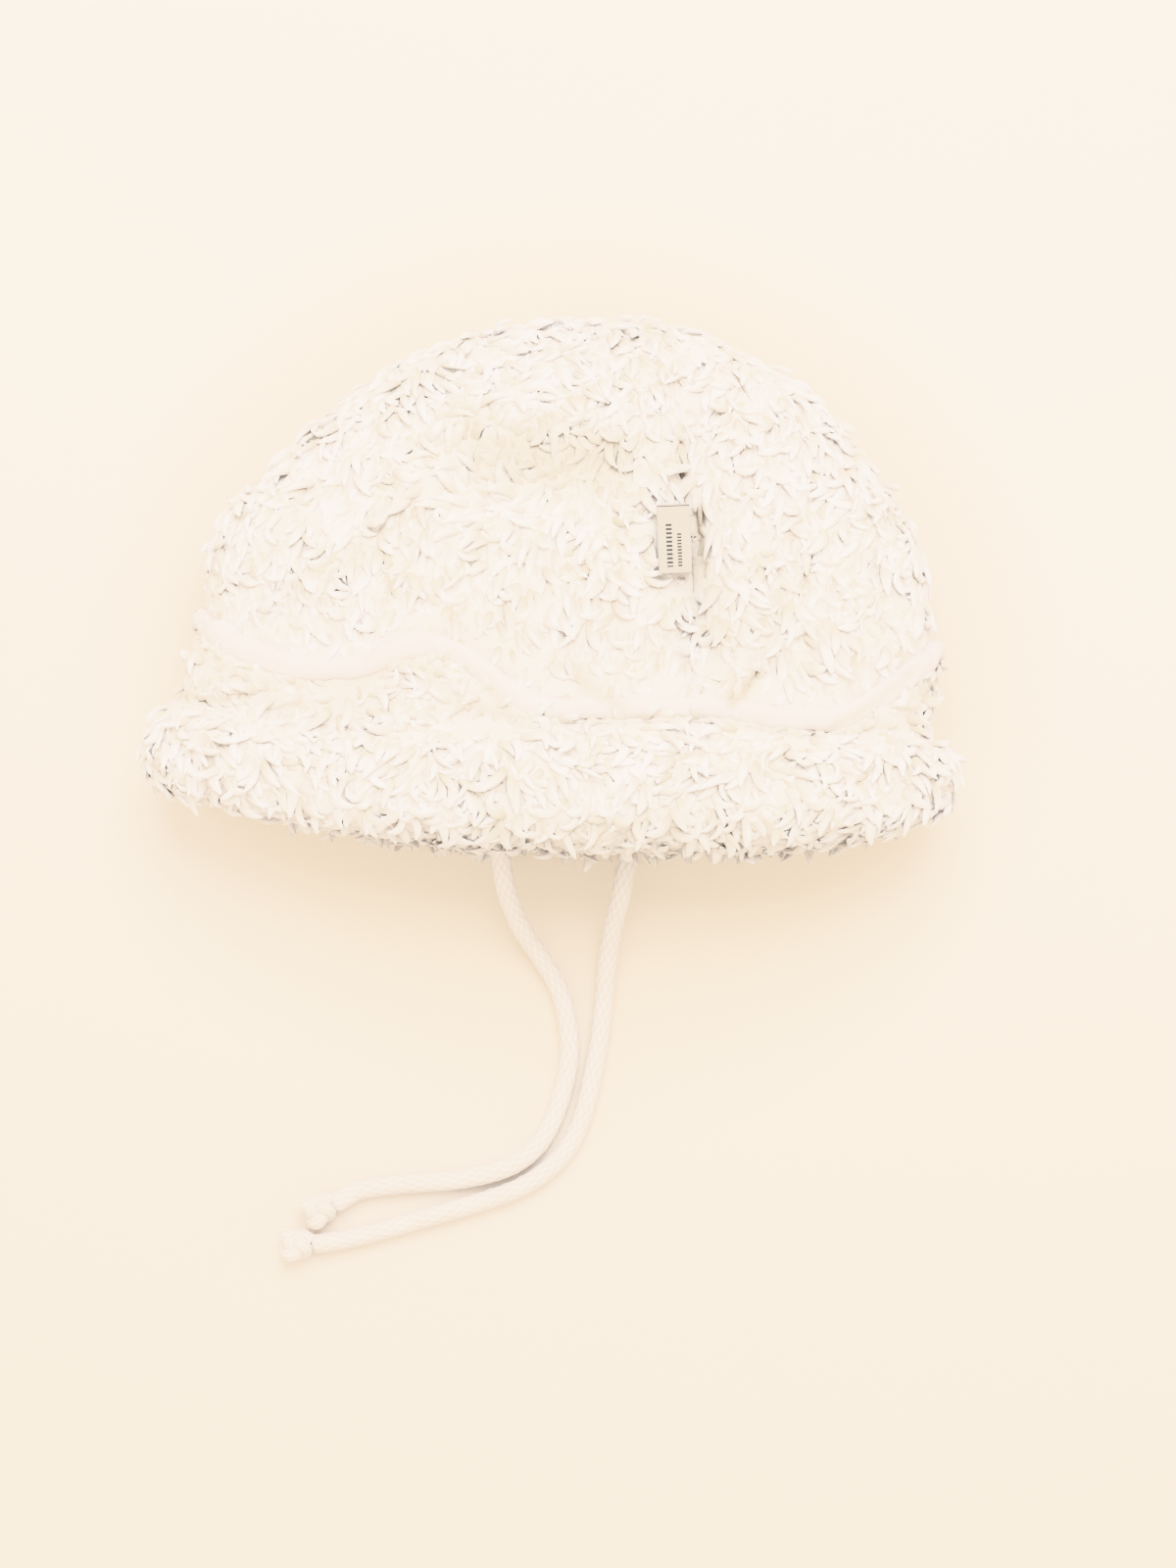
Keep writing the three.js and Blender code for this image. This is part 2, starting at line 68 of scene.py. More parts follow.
# Stage
FLOOR_SIZE = 40
LAMP_PLACE = (0.15, 1.1, 1.9)
LAMP_SIZE = 1.6
LAMP_COLOUR = (0.93, 0.98, 1.0)

# The middle of the hollow, round which outside and inside are told apart
HOLLOW = Vector((20, -30, 30)) * MM
HOLLOW_HALF = Vector((112, 108, 30)) * MM

# The ties' routes, from where they are sewn inside the mouth to their knots
TIE_POINTS = {
    "left": [
        (-14.6, -56, 41.3), (-14.5, -66, 40.7), (-14.3, -75, 37.0), (-13.8, -83, 31.0),
        (-12.2, -92, 22.6), (-8.2, -102.5, 12.2), (-2.2, -112, 5.4), (2.8, -121, 3.4),
        (5.4, -131, 3.3), (6.0, -141, 3.3), (4.2, -151, 3.3), (0.9, -160.6, 3.3),
        (-3.7, -168.2, 3.3), (-10, -173.4, 3.3), (-17.2, -176.3, 3.3), (-27.4, -178.4, 3.3),
        (-38, -179.3, 3.3), (-48.6, -180.2, 3.3), (-57.6, -181.8, 3.3), (-64.2, -185.4, 4.4),
    ],
    "right": [
        (23.2, -54, 25.2), (23.2, -64, 25.2), (23.1, -74, 25.2), (22.9, -82, 24.6),
        (21.4, -92, 19.6), (18.9, -103, 11), (17.3, -114, 5), (16.4, -125, 3.4),
        (14.9, -137, 3.3), (12.6, -149, 3.3), (10, -159.4, 3.3), (5.8, -168.4, 3.3),
        (-0.2, -175.2, 3.3), (-8.4, -180.6, 3.3), (-17, -184, 3.3), (-27.6, -187.2, 3.3),
        (-38.2, -190.2, 3.3), (-48.8, -193.2, 3.3), (-59.6, -196, 3.3), (-70.4, -197.6, 4.6),
    ],
}
TIE_DIAMETER = 6 * MM
TIE_RINGS = 500
END_SHADE = 0.4
# How a tie is drawn into its knot: steps in mm, and the share of its thickness that it keeps
DRAWN_STEPS = ((0.4,), (0.8,), (1.2,))
DRAWN_SHARES = (0.98, 0.93, 0.85, 0.7)
KNOT_RINGS = 200
KNOT_SIDES = 24
KNOT_REACH = 3.1 * MM
KNOT_RADIUS = 2.35 * MM

LABEL_TURN = math.radians(2.5)
# Rows of dashes on the label, all in mm: place across, width, pitch, first and last place along
DASH_ROWS = ((6.3, 1.7, 1.2, -8.2, 4.6), (3.4, 1.2, 0.9, -8.2, 1.4))
# Painted shade: a dark line near the label's end where its folded layers meet, its place along
# and half width in mm
END_GAP_SHADE = 9.35
END_GAP_SHADE_HALF = 0.16

# Creases of the upper side, where the cloth sinks and painted shade darkens it: from, to, half
# width (all in mm) and depth from 0 to 1
CREASES = [
    ((-16.7, 37), (18.7, 34.2), 10, 0.5),
    ((43.9, 20), (44.1, 0.2), 2, 0.95),
    ((38.2, 43.8), (39.9, 24.3), 2, 0.45),
    ((44.1, -2.6), (49.2, -26.9), 1.7, 0.35),
    ((-105.6, -33.7), (-93.7, -35.4), 1.4, 0.6),
    ((-81.8, -37.1), (-59.1, -35.4), 1.4, 0.35),
    ((-25.2, -24.1), (-16.7, -30.9), 1.4, 0.2),
    ((-17.5, -30.9), (-8.8, -41.7), 1.7, 0.45),
    ((8.8, -28.1), (20.7, -37.1), 2.3, 0.55),
    ((22.9, -39.7), (49.8, -40.2), 1.1, 0.35),
    ((52.9, -36), (61.1, -27.5), 1.7, 0.85),
    ((77.3, -45.1), (89.1, -39.1), 1.4, 0.5),
    ((89.1, -39.1), (106.4, -26.4), 1.4, 0.45),
    ((64.5, -18.2), (68.2, -3.7), 1.7, 0.35),
    ((73.3, -3.7), (75, 3.1), 1.7, 0.4),
    ((11.6, 73.8), (37.1, 69.6), 2.3, 0.2),
    ((-45, 20), (-64.8, -2.6), 2.5, 0.2),
]
CREASE_FALL = 1.8 * MM
# Creases fade out from the upper side down to this height
CREASE_LOWEST = 20 * MM
CREASE_FADE = 10 * MM

# Painted shade: under the brim's roll and along the binding's lower edge
ROLL_START = -66 * MM
ROLL_REACH = 11 * MM
EDGE_REACH = 1.5 * MM
EDGE_SHADE = 0.32
UPPER_SIDE = 30 * MM

# The stretch of the binding over which the pile closes
CLOSED_MIDDLE = 28 * MM
CLOSED_REACH = 42 * MM
# How far the binding swells in its middle, in mm, and its radius round the mouth
BINDING_BULGE = 1.5
MOUTH_RADIUS = 110 * MM

# The crown's dent, round which the locks swirl
DENT = (-7.0, 38.0, 50.0)
DENT_REACH = 34 * MM

# How the locks lie: the sizes of their waves, how far the banks by the binding reach, how far
# from it locks are short, and how far from the side seam they close over it
CROWN_WAVES = (21 * MM, 8 * MM)
BRIM_WAVES = (13 * MM, 6 * MM)
CROWN_BANK = 9 * MM
BRIM_BANK = 5 * MM
SHORT_REACH = 12 * MM
SEAM_REACH = 6 * MM

# Locks of pile
CANDIDATE_GAP = 0.75 * MM
LOCKS_PER_PIECE = 1950
SEEN_FROM = 18 * MM
TUFT_RISE = 0.7 * MM
TUFT_SIZE = 4.2 * MM
LOCK_SUNK = 1.6 * MM
PROUD_SHARE = 0.12
PROUD_RISE = 18
LENGTH_SHARES = (0.62, 1.2)
RADIUS_SHARES = (0.72, 1.2)
RISE_ANGLES = (30, 50)
FALL_ANGLES = (0, 34)
GROOVE_DEPTHS = (0.14, 0.34)
TWISTS = (1.5, 3.6)
SHADES = 40
# A lock's width and thickness as shares of its radius
FLATTENED = (1.06, 0.82)
# How far over a root another piece may lie before the root is left bare
COVER_REACH = 12 * MM
TAPE_REACH = 3 * MM
LABEL_REACH = 1 * MM
# Half the patch round the label where locks are short, in mm, and how far under its top they end
BY_LABEL = (7, 13)
UNDER_LABEL = 1.4 * MM

# How far the panels' grounds lap at the side seam, and between which places it lies
SEAM_LAP = 0.4 * MM
SEAM_PLACE = (18 * MM, 44 * MM)
GROUND_LOWEST = 0.05 * MM
LOCKS_LOWEST = 0.25 * MM

COOL_WHITE = (0.92, 0.905, 0.95)
# Pitch of the jersey's wales and courses and of the label's weave, in mm
WALE, COURSE, WEAVE = 0.7, 0.9, 0.4
# Painted light on the paper, brightest at the far side: its centre and size
PAINTED_LIGHT_CENTRE, PAINTED_LIGHT_SIZE = (0.1, 0.45, 0), 0.55
# Painted warm shadow that the cap throws on the paper: its centre, size and colour
CAP_SHADOW_CENTRE, CAP_SHADOW_SIZE = (0.008, -0.022, 0), 0.115
CAP_SHADOW_COLOUR = (0.85, 0.765, 0.66)


# Plain helpers


def select_only(piece):
    """Makes one object the selected and active one."""
    bpy.ops.object.select_all(action="DESELECT")
    piece.select_set(True)
    bpy.context.view_layer.objects.active = piece


def finish_piece(piece, slot, material, *nodes):
    """Gives a piece its ride and material, and hides the nodes that it stands for. Its slot is
    not used.
    """
    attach(piece, "root")
    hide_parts(*nodes)
    piece.data.materials.clear()
    piece.data.materials.append(material)


def linked_object(name, mesh):
    """A new object of the scene that holds a mesh."""
    piece = bpy.data.objects.new(name, mesh)
    bpy.context.scene.collection.objects.link(piece)
    return piece


def merged_copy(node, name):
    """A copy of a node's mesh with its loose triangles joined."""
    piece = linked_object(name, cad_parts[node].data.copy())
    select_only(piece)
    bpy.ops.object.mode_set(mode="EDIT")
    bpy.ops.mesh.select_all(action="SELECT")
    bpy.ops.mesh.remove_doubles(threshold=0.02 * MM)
    bpy.ops.object.mode_set(mode="OBJECT")
    return piece


def apply_modifier(piece, kind, **settings):
    """Adds one modifier with its settings and applies it."""
    select_only(piece)
    made = piece.modifiers.new(kind.title(), kind)
    for key, value in settings.items():
        setattr(made, key, value)
    bpy.ops.object.modifier_apply(modifier=made.name)


def smooth_copy(node, name, levels):
    """A node's shape with its facets rounded off."""
    piece = merged_copy(node, name)
    apply_modifier(piece, "SUBSURF", levels=levels, render_levels=levels)
    bpy.ops.object.shade_smooth()
    return piece


def vectors_of(values, key):
    """The vectors that a mesh holds under a key, as an array."""
    flat = np.empty(len(values) * 3)
    values.foreach_get(key, flat)
    return flat.reshape(-1, 3)


def points_of(piece):
    """A piece's vertices."""
    return vectors_of(piece.data.vertices, "co")


def normals_of(piece):
    """A piece's vertex normals."""
    return vectors_of(piece.data.vertex_normals, "vector")


def move_points(piece, points):
    """Puts a piece's vertices at new places."""
    flat = np.ascontiguousarray(points, dtype=np.float32).ravel()
    piece.data.vertices.foreach_set("co", flat)
    piece.data.update()


def lay_uv(piece, uv):
    """Gives a piece a map in mm from one place in metres for each of its points."""
    layer = piece.data.uv_layers.new(name="UVMap")
    corners = np.empty(len(piece.data.loops), np.int32)
    piece.data.loops.foreach_get("vertex_index", corners)
    layer.uv.foreach_set("vector", (uv[corners] / MM).astype(np.float32).ravel())


def mesh_object(name, points, quads, tris, uv=None, normals=None):
    """A smooth object from points, quads and triangles, with each point's UV and normal."""
    mesh = bpy.data.meshes.new(name)
    mesh.vertices.add(len(points))
    mesh.vertices.foreach_set("co", np.asarray(points, np.float32).ravel())
    corners = np.concatenate([np.asarray(faces, np.int32).ravel() for faces in (quads, tris)])
    quad_starts, tri_starts = np.arange(len(quads)) * 4, np.arange(len(tris)) * 3
    starts = np.concatenate([quad_starts, tri_starts + len(quads) * 4])
    mesh.loops.add(len(corners))
    mesh.loops.foreach_set("vertex_index", corners.astype(np.int32))
    mesh.polygons.add(len(starts))
    mesh.polygons.foreach_set("loop_start", starts.astype(np.int32))
    mesh.polygons.foreach_set("use_smooth", np.ones(len(starts), bool))
    if uv is not None:
        layer = mesh.uv_layers.new(name="UVMap")
        layer.uv.foreach_set("vector", np.asarray(uv, np.float32)[corners].ravel())
    mesh.update(calc_edges=True)
    mesh.validate()
    if normals is not None:
        mesh.normals_split_custom_set_from_vertices(normals)
    return linked_object(name, mesh)


def unit(vectors):
    """Vectors made one long."""
    return vectors / np.maximum(np.linalg.norm(vectors, axis=-1, keepdims=True), 1e-12)


def outwardness(points, normals):
    """How far each normal faces away from the hollow, from -1 to 1."""
    half = np.array(HOLLOW_HALF)
    away = (points - np.array(HOLLOW)) / half**2
    away[:, 1] = np.where(points[:, 1] > HOLLOW.y, away[:, 1], 0)
    return np.sum(unit(away) * normals, axis=1)


def crease_depth(points):
    """How deep the creases are at points, from 0 to 1, which sinks the cloth and sets how much
    painted shade they take.
    """
    depth = np.zeros(len(points))
    for start, end, width, most in CREASES:
        start, end = np.array(start) * MM, np.array(end) * MM
        along, apart = end - start, points[:, :2] - start
        share = np.clip(apart @ along / (along @ along), 0, 1)
        gap = np.linalg.norm(apart - share[:, None] * along, axis=1)
        depth = np.maximum(depth, most * np.exp(-((gap / (width * MM)) ** 2)))
    return depth * np.clip((points[:, 2] - CREASE_LOWEST) / CREASE_FADE, 0, 1)


def mark_creases(piece, edge):
    """Stores how much painted shade a piece takes: in its creases, by the binding and under the
    roll.
    """
    points = points_of(piece)
    roll = np.clip((ROLL_START - points[:, 1]) / ROLL_REACH, 0, 1)
    by_tape = np.exp(-((edge.across(points) / EDGE_REACH) ** 2)) * (points[:, 2] > UPPER_SIDE)
    by_tape *= 1 - 0.5 * half_hidden(points)
    dark = np.maximum(crease_depth(points), EDGE_SHADE * np.maximum(roll, by_tape))
    layer = piece.data.attributes.new("crease", "FLOAT", "POINT")
    layer.data.foreach_set("value", dark.astype(np.float32))


# Shader nodes


class Wire:
    """A shader value that adds maths nodes when it is used in an expression."""

    def __init__(self, nodes, socket):
        self.nodes = nodes
        self.socket = socket

    def maths(self, operation, *values):
        return self.nodes.add("ShaderNodeMath", {"operation": operation}, values)

    def __add__(self, other):
        return self.maths("ADD", self, other)

    __radd__ = __add__

    def __sub__(self, other):
        return self.maths("SUBTRACT", self, other)

    def __rsub__(self, other):
        return self.maths("SUBTRACT", other, self)

    def __mul__(self, other):
        return self.maths("MULTIPLY", self, other)

    __rmul__ = __mul__

    def __truediv__(self, other):
        return self.maths("DIVIDE", self, other)

    def sine(self):
        return self.maths("SINE", self)

    def fraction(self):
        return self.maths("FRACT", self)

    def below(self, other):
        """1 where the value is under another, else 0."""
        return self.maths("LESS_THAN", self, other)

    def size(self):
        return self.maths("ABSOLUTE", self)

    def limited(self):
        """The value kept between 0 and 1."""
        return self.nodes.add("ShaderNodeClamp", {}, {"Value": self})


class Nodes:
    """Builds one material's nodes."""

    def __init__(self, name):
        self.material = bpy.data.materials.new(name)
        self.material.use_nodes = True
        self.tree = self.material.node_tree
        self.tree.nodes.clear()

    def add(self, kind, settings, values, output=0):
        """Adds a node with its settings, which come first, and its sockets' values or links."""
        node = self.tree.nodes.new(kind)
        for key, value in settings.items():
            setattr(node, key, value)
        pairs = values.items() if isinstance(values, dict) else enumerate(values)
        for key, value in pairs:
            if isinstance(value, Wire):
                self.tree.links.new(value.socket, node.inputs[key])
            else:
                node.inputs[key].default_value = value
        return Wire(self, node.outputs[output]) if node.outputs else None

    def uv(self):
        """The U and V values of the piece's own map."""
        place = self.add("ShaderNodeTexCoord", {}, {}, "UV")
        along = self.add("ShaderNodeSeparateXYZ", {}, [place])
        return along, Wire(self, along.socket.node.outputs["Y"])

    def place(self):
        """Object coordinates."""
        return self.add("ShaderNodeTexCoord", {}, {}, "Object")

    def reach(self, where, centre, size):
        """How far places lie from a centre, in sizes."""
        distance = {"operation": "DISTANCE"}
        return self.add("ShaderNodeVectorMath", distance, [where, centre], "Value") / size

    def creased(self, base, dark):
        """A colour darkened by the painted shade stored in the piece: in creases, by the binding
        and under the roll.
        """
        depth = self.add("ShaderNodeAttribute", {"attribute_name": "crease"}, {}, "Fac")
        return self.mix(depth, base, dark)

    def stretched_uv(self, along, across):
        """The piece's map stretched, for noise that runs along a lock."""
        place = self.add("ShaderNodeTexCoord", {}, {}, "UV")
        times = {"operation": "MULTIPLY"}
        return self.add("ShaderNodeVectorMath", times, [place, (along, across, 1)])

    def noise(self, where, scale, detail=3.0, roughness=0.55):
        """Cloudy noise from 0 to 1."""
        values = {"Vector": where, "Scale": scale, "Detail": detail, "Roughness": roughness}
        return self.add("ShaderNodeTexNoise", {}, values)

    def mix(self, factor, first, second):
        """A blend of two colours. The node's colour sockets are inputs 6 and 7 and output 2."""
        values = {0: factor, 6: first, 7: second}
        return self.add("ShaderNodeMix", {"data_type": "RGBA"}, values, 2)

    def bump(self, height, distance, strength=1.0):
        """A normal from a height."""
        values = {"Height": height, "Distance": distance, "Strength": strength}
        return self.add("ShaderNodeBump", {}, values)

    def surface(self, **values):
        """The cloth shader and the output. Names hold underscores for spaces."""
        sockets = {key.replace("_", " "): value for key, value in values.items()}
        shader = self.add("ShaderNodeBsdfPrincipled", {}, sockets)
        self.add("ShaderNodeOutputMaterial", {}, {"Surface": shader})
        return self.material


def rgb(colour):
    """A property's colour with full alpha."""
    return (colour[0], colour[1], colour[2], 1.0)


def shade(colour, share):
    """A colour darkened to a share, a little warmer as it darkens."""
    return (colour[0] * share, colour[1] * share**1.15, colour[2] * share**1.45, 1.0)


def pile_material(name, colour, root_shade_share):
    """Curled cotton locks: painted shade makes them warm and darker where they root, pale at
    their tips, with fine fibres along them.

    The whole part of V is each lock's own number, which gives it its own shade.
    """
    nodes = Nodes(name)
    along, across = nodes.uv()
    where = nodes.place()
    patch = nodes.noise(where, 80.0, 2.0)
    fibres = nodes.noise(nodes.stretched_uv(2.5, 16.0), 1.0, 4.0, 0.7)
    own = ((across - across.fraction()) * 0.618).fraction()
    # Painted shade deep in the pile: each lock darkens and warms towards its root
    tone = along * 1.25 - 0.1 + (patch - 0.5) * 1.3 + (fibres - 0.5) * 0.6 + own * 0.3
    tone = tone.limited()
    root = shade(colour, root_shade_share)
    warm, cool = nodes.mix(tone, root, rgb(colour)), nodes.mix(tone, root, rgb(COOL_WHITE))
    base = nodes.mix(own * 0.5, warm, cool)
    # Painted shade in creases, by the binding and under the roll
    base = nodes.creased(base, shade(colour, 0.5))
    fuzz = nodes.noise(where, 2600.0, 3.0, 0.7)
    return nodes.surface(
        Base_Color=base,
        Roughness=0.92,
        Specular_IOR_Level=0.1,
        Sheen_Weight=0.3,
        Sheen_Roughness=0.6,
        Normal=nodes.bump(fibres + fuzz * 0.3, 0.28 * MM, 0.5),
    )


def ground_material(name, colour):
    """The knitted ground that the locks stand in."""
    nodes = Nodes(name)
    where = nodes.place()
    stitch = nodes.noise(where, 900.0, 2.0)
    patch = nodes.noise(where, 60.0, 2.0)
    base = nodes.mix(patch, shade(colour, 0.97), rgb(colour))
    # Painted shade in creases, by the binding and under the roll
    base = nodes.creased(base, shade(colour, 0.6))
    return nodes.surface(
        Base_Color=base,
        Roughness=0.95,
        Specular_IOR_Level=0.1,
        Sheen_Weight=0.15,
        Normal=nodes.bump(stitch, 0.6 * MM, 0.5),
    )


def jersey_material(name, colour):
    """Fine jersey tape: close wales along it, soft random tone, and painted shade along its lower
    edge and in creases. UV is in mm.
    """
    nodes = Nodes(name)
    along, across = nodes.uv()
    where = nodes.place()
    wale = (across * (TURN / WALE)).sine()
    course = (along * (TURN / COURSE) + wale.size() * 1.6).sine()
    fuzz = nodes.noise(where, 1500.0, 3.0)
    patch = nodes.noise(where, 90.0, 3.0)
    base = nodes.mix(patch, shade(colour, 0.95), rgb(colour))
    # Painted shade along the lower edge and in creases
    base = nodes.creased(base, shade(colour, 0.65))
    height = wale.size() * 0.5 + course * 0.25 + fuzz * 0.6
    return nodes.surface(
        Base_Color=base,
        Roughness=0.88,
        Specular_IOR_Level=0.15,
        Sheen_Weight=0.2,
        Normal=nodes.bump(height, 0.18 * MM, 0.7),
    )


def cord_material(name, colour):
    """Braided cotton, a little fuzzy, with painted shade darkening its furrows. U is the braid's
    height.
    """
    nodes = Nodes(name)
    furrow = nodes.uv()[0]
    where = nodes.place()
    fuzz = nodes.noise(where, 2200.0, 3.0, 0.65)
    patch = nodes.noise(where, 120.0, 2.0)
    # Painted shade: the furrows of the braid are darker
    tone = (furrow * 0.85 + (patch - 0.5) * 0.3 + 0.1).limited()
    base = nodes.mix(tone, shade(colour, 0.74), rgb(colour))
    return nodes.surface(
        Base_Color=base,
        Roughness=0.85,
        Specular_IOR_Level=0.18,
        Sheen_Weight=0.2,
        Normal=nodes.bump(fuzz, 0.2 * MM, 0.7),
    )


def label_material(name, colour, thread):
    """Woven tape with two rows of plain dashes, and a painted dark line along its end for the
    shade where its folded layers meet. UV is in mm.
    """
    nodes = Nodes(name)
    along, across = nodes.uv()
    where = nodes.place()
    weave = (along * (TURN / WEAVE)).sine() * (across * (TURN / WEAVE)).sine()
    patch = nodes.noise(where, 200.0, 3.0)
    base = nodes.mix(patch, shade(colour, 0.94), rgb(colour))
    dashes = 0.0
    for row, width, pitch, first, last in DASH_ROWS:
        band = (across - row).size().below(width / 2)
        strokes = (along / pitch).fraction().below(0.5)
        span = (along - (first + last) / 2).size().below((last - first) / 2)
        dashes = band * strokes * span + dashes
    # Painted shade where the label's folded layers meet
    gap_shade = (along - END_GAP_SHADE).size().below(END_GAP_SHADE_HALF)
    base = nodes.mix((dashes * 0.85 + gap_shade * 0.7).limited(), base, rgb(thread))
    return nodes.surface(
        Base_Color=base,
        Roughness=0.7,
        Specular_IOR_Level=0.25,
        Normal=nodes.bump(weave + patch, 0.08 * MM, 0.7),
    )


def floor_material(name, colour, painted_glow):
    """Plain matt paper with a painted glow, painted light that brightens its far side, and a
    painted warm shadow round the cap.
    """
    nodes = Nodes(name)
    where = nodes.place()
    # Painted light: the paper is brighter towards its far side
    painted_light = (nodes.reach(where, PAINTED_LIGHT_CENTRE, PAINTED_LIGHT_SIZE) * -1.0 + 1.35).limited()
    base = nodes.mix(painted_light, shade(colour, 0.82), rgb(colour))
    # Painted shadow: a warm shade round the cap
    painted_shadow = ((nodes.reach(where, CAP_SHADOW_CENTRE, CAP_SHADOW_SIZE) * -1.0 + 1.3) / 0.42).limited()
    base = nodes.mix(painted_shadow * 0.5, base, rgb(CAP_SHADOW_COLOUR))
    return nodes.surface(
        Base_Color=base,
        Roughness=0.95,
        Specular_IOR_Level=0.05,
        # Painted light: the paper glows though it is no lamp
        Emission_Color=rgb(colour),
        Emission_Strength=painted_glow,
    )


# Sizes and colours that a user would change


class CapSettings(bpy.types.PropertyGroup):
    """The pile, the binding and the ground under them."""

    lock_length: bpy.props.FloatProperty(
        name="Lock length", description="Length of one curled lock of pile", default=9.4 * MM,
        unit="LENGTH",
    )
    lock_radius: bpy.props.FloatProperty(
        name="Lock radius", description="Half the thickness of a lock where it is thickest",
        default=1.36 * MM, unit="LENGTH",
    )
    spacing_seen: bpy.props.FloatProperty(
        name="Spacing above", description="Least distance of locks on the upper side",
        default=2.15 * MM, unit="LENGTH",
    )
    spacing_under: bpy.props.FloatProperty(
        name="Spacing below", description="Least distance of locks on the underside",
        default=3.4 * MM, unit="LENGTH",
    )
    pile_depth: bpy.props.FloatProperty(
        name="Pile depth", description="How far the knitted ground lies under the pile",
        default=0.65 * MM, unit="LENGTH",
    )
    seed: bpy.props.IntProperty(name="Seed", description="Seed of the pile's scatter", default=7)
    pile_colour: bpy.props.FloatVectorProperty(
        name="Pile", description="Colour of the locks' tips", subtype="COLOR",
        default=(0.9, 0.868, 0.88),
    )
    binding_colour: bpy.props.FloatVectorProperty(
        name="Binding", description="Colour of the jersey tape", subtype="COLOR",
        default=(0.9, 0.85, 0.865),
    )


class TieSettings(bpy.types.PropertyGroup):
    """The braided ties, their knots and the label."""

    diameter: bpy.props.FloatProperty(
        name="Diameter", description="Thickness of a tie", default=TIE_DIAMETER, unit="LENGTH"
    )
    pitch: bpy.props.FloatProperty(
        name="Braid pitch", description="Length of one stitch of the braid", default=2.6 * MM,
        unit="LENGTH",
    )
    relief: bpy.props.FloatProperty(
        name="Braid relief", description="How deep the braid's furrows are", default=0.32 * MM,
        unit="LENGTH",
    )
    cord_colour: bpy.props.FloatVectorProperty(
        name="Cord", description="Colour of the ties", subtype="COLOR",
        default=(0.885, 0.845, 0.86),
    )
    label_colour: bpy.props.FloatVectorProperty(
        name="Label", description="Colour of the label's tape", subtype="COLOR",
        default=(0.585, 0.538, 0.51),
    )
    thread_colour: bpy.props.FloatVectorProperty(
        name="Thread", description="Colour of the label's dashes", subtype="COLOR",
        default=(0.045, 0.042, 0.045),
    )


class StageSettings(bpy.types.PropertyGroup):
    """The floor and the light."""

    floor_colour: bpy.props.FloatVectorProperty(
        name="Floor", description="Colour of the floor", subtype="COLOR",
        default=(0.965, 0.922, 0.915),
    )
    # Painted light: the strength of the paper's glow, though it is no lamp
    floor_painted_glow: bpy.props.FloatProperty(
        name="Floor glow", description="Light given back by the paper all round", default=0.05
    )
    sky_colour: bpy.props.FloatVectorProperty(
        name="Fill colour", description="Colour of the light from all round", subtype="COLOR",
        default=(1.0, 0.925, 0.79),
    )
    sky_strength: bpy.props.FloatProperty(
        name="Fill light", description="Strength of the light from all round", default=1.45
    )
    lamp_power: bpy.props.FloatProperty(
        name="Lamp power", description="Power of the large soft lamp", default=48.0, unit="POWER"
    )


# Ties


def lengths_along(path):
    """How far each point of a path lies along it."""
    return np.concatenate([[0], np.cumsum(np.linalg.norm(np.diff(path, axis=0), axis=1))])


def smooth_path(points, count):
    """Even points in metres on the smooth curve through a route in mm."""
    steps = 24
    route = np.array(points, float) * MM
    padded = np.vstack([2 * route[0] - route[1], route, 2 * route[-1] - route[-2]])
    fine = []
    for before, start, end, after in zip(padded, padded[1:], padded[2:], padded[3:]):
        for share in np.linspace(0, 1, steps, endpoint=False):
            square, cube = share**2, share**3
            fine.append(
                0.5 * (2 * start + (end - before) * share
                       + (2 * before - 5 * start + 4 * end - after) * square
                       + (3 * start - before - 3 * end + after) * cube)
            )
    fine.append(route[-1])
    fine = np.array(fine)
    lengths = lengths_along(fine)
    even = np.linspace(0, lengths[-1], count)
    return np.column_stack([np.interp(even, lengths, fine[:, axis]) for axis in range(3)])


def frames_along(path):
    """Two steady sideways directions along a path."""
    tangents = unit(np.gradient(path, axis=0))
    side = unit(np.cross(tangents[0], (0.0, 0.0, 1.0)) + 1e-9)
    sides = []
    for tangent in tangents:
        side = unit(side - tangent * np.dot(side, tangent))
        sides.append(side)
    sides = np.array(sides)
    return sides, np.cross(tangents, sides)


def braid_height(along, around, pitch):
    """The braid's relief, from 0 in the furrows to 1: two families of yarns, over and under."""
    yarns = 8
    lean = along / pitch * math.pi / 2
    right, left = np.cos(around * yarns / 2 + lean), np.cos(around * yarns / 2 - lean)
    over = 0.5 + 0.5 * right * left
    return np.clip(np.maximum(np.abs(right) * over, np.abs(left) * (1 - over)), 0, 1)


def tube_faces(rings, sides, first, last):
    """A tube's quads, and the triangles that close it round a first and a last point."""
    row = np.arange(rings - 1)[:, None] * sides
    column = np.arange(sides)
    after = (column + 1) % sides
    quads = np.stack([row + column, row + after, row + sides + after, row + sides + column], -1)
    base = (rings - 1) * sides
    start = np.column_stack([np.full(sides, first), after, column])
    end = np.column_stack([np.full(sides, last), base + column, base + after])
    return quads.reshape(-1, 4), start, end


def braided_tube(name, path, radii, pitch, relief, sides=32):
    """A closed tube along a path with the braid raised on it. U holds the relief."""
    across, upward = frames_along(path)
    turn = np.arange(sides) / sides * 2 * math.pi
    along, around = np.meshgrid(lengths_along(path), turn, indexing="ij")
    height = braid_height(along, around, pitch)
    radius = np.asarray(radii)[:, None] - relief * (1 - height)
    ring = across[:, None] * np.cos(around)[..., None]
    ring = ring + upward[:, None] * np.sin(around)[..., None]
    points = (path[:, None] + ring * radius[..., None]).reshape(-1, 3)
    uv = np.stack([height, around / TURN], axis=-1).reshape(-1, 2)
    quads, start, end = tube_faces(len(path), sides, len(points), len(points) + 1)
    points = np.vstack([points, path[[0, -1]]])
    uv = np.vstack([uv, [[END_SHADE, 0]] * 2])
    return mesh_object(name, points, quads, np.vstack([start, end]), uv)


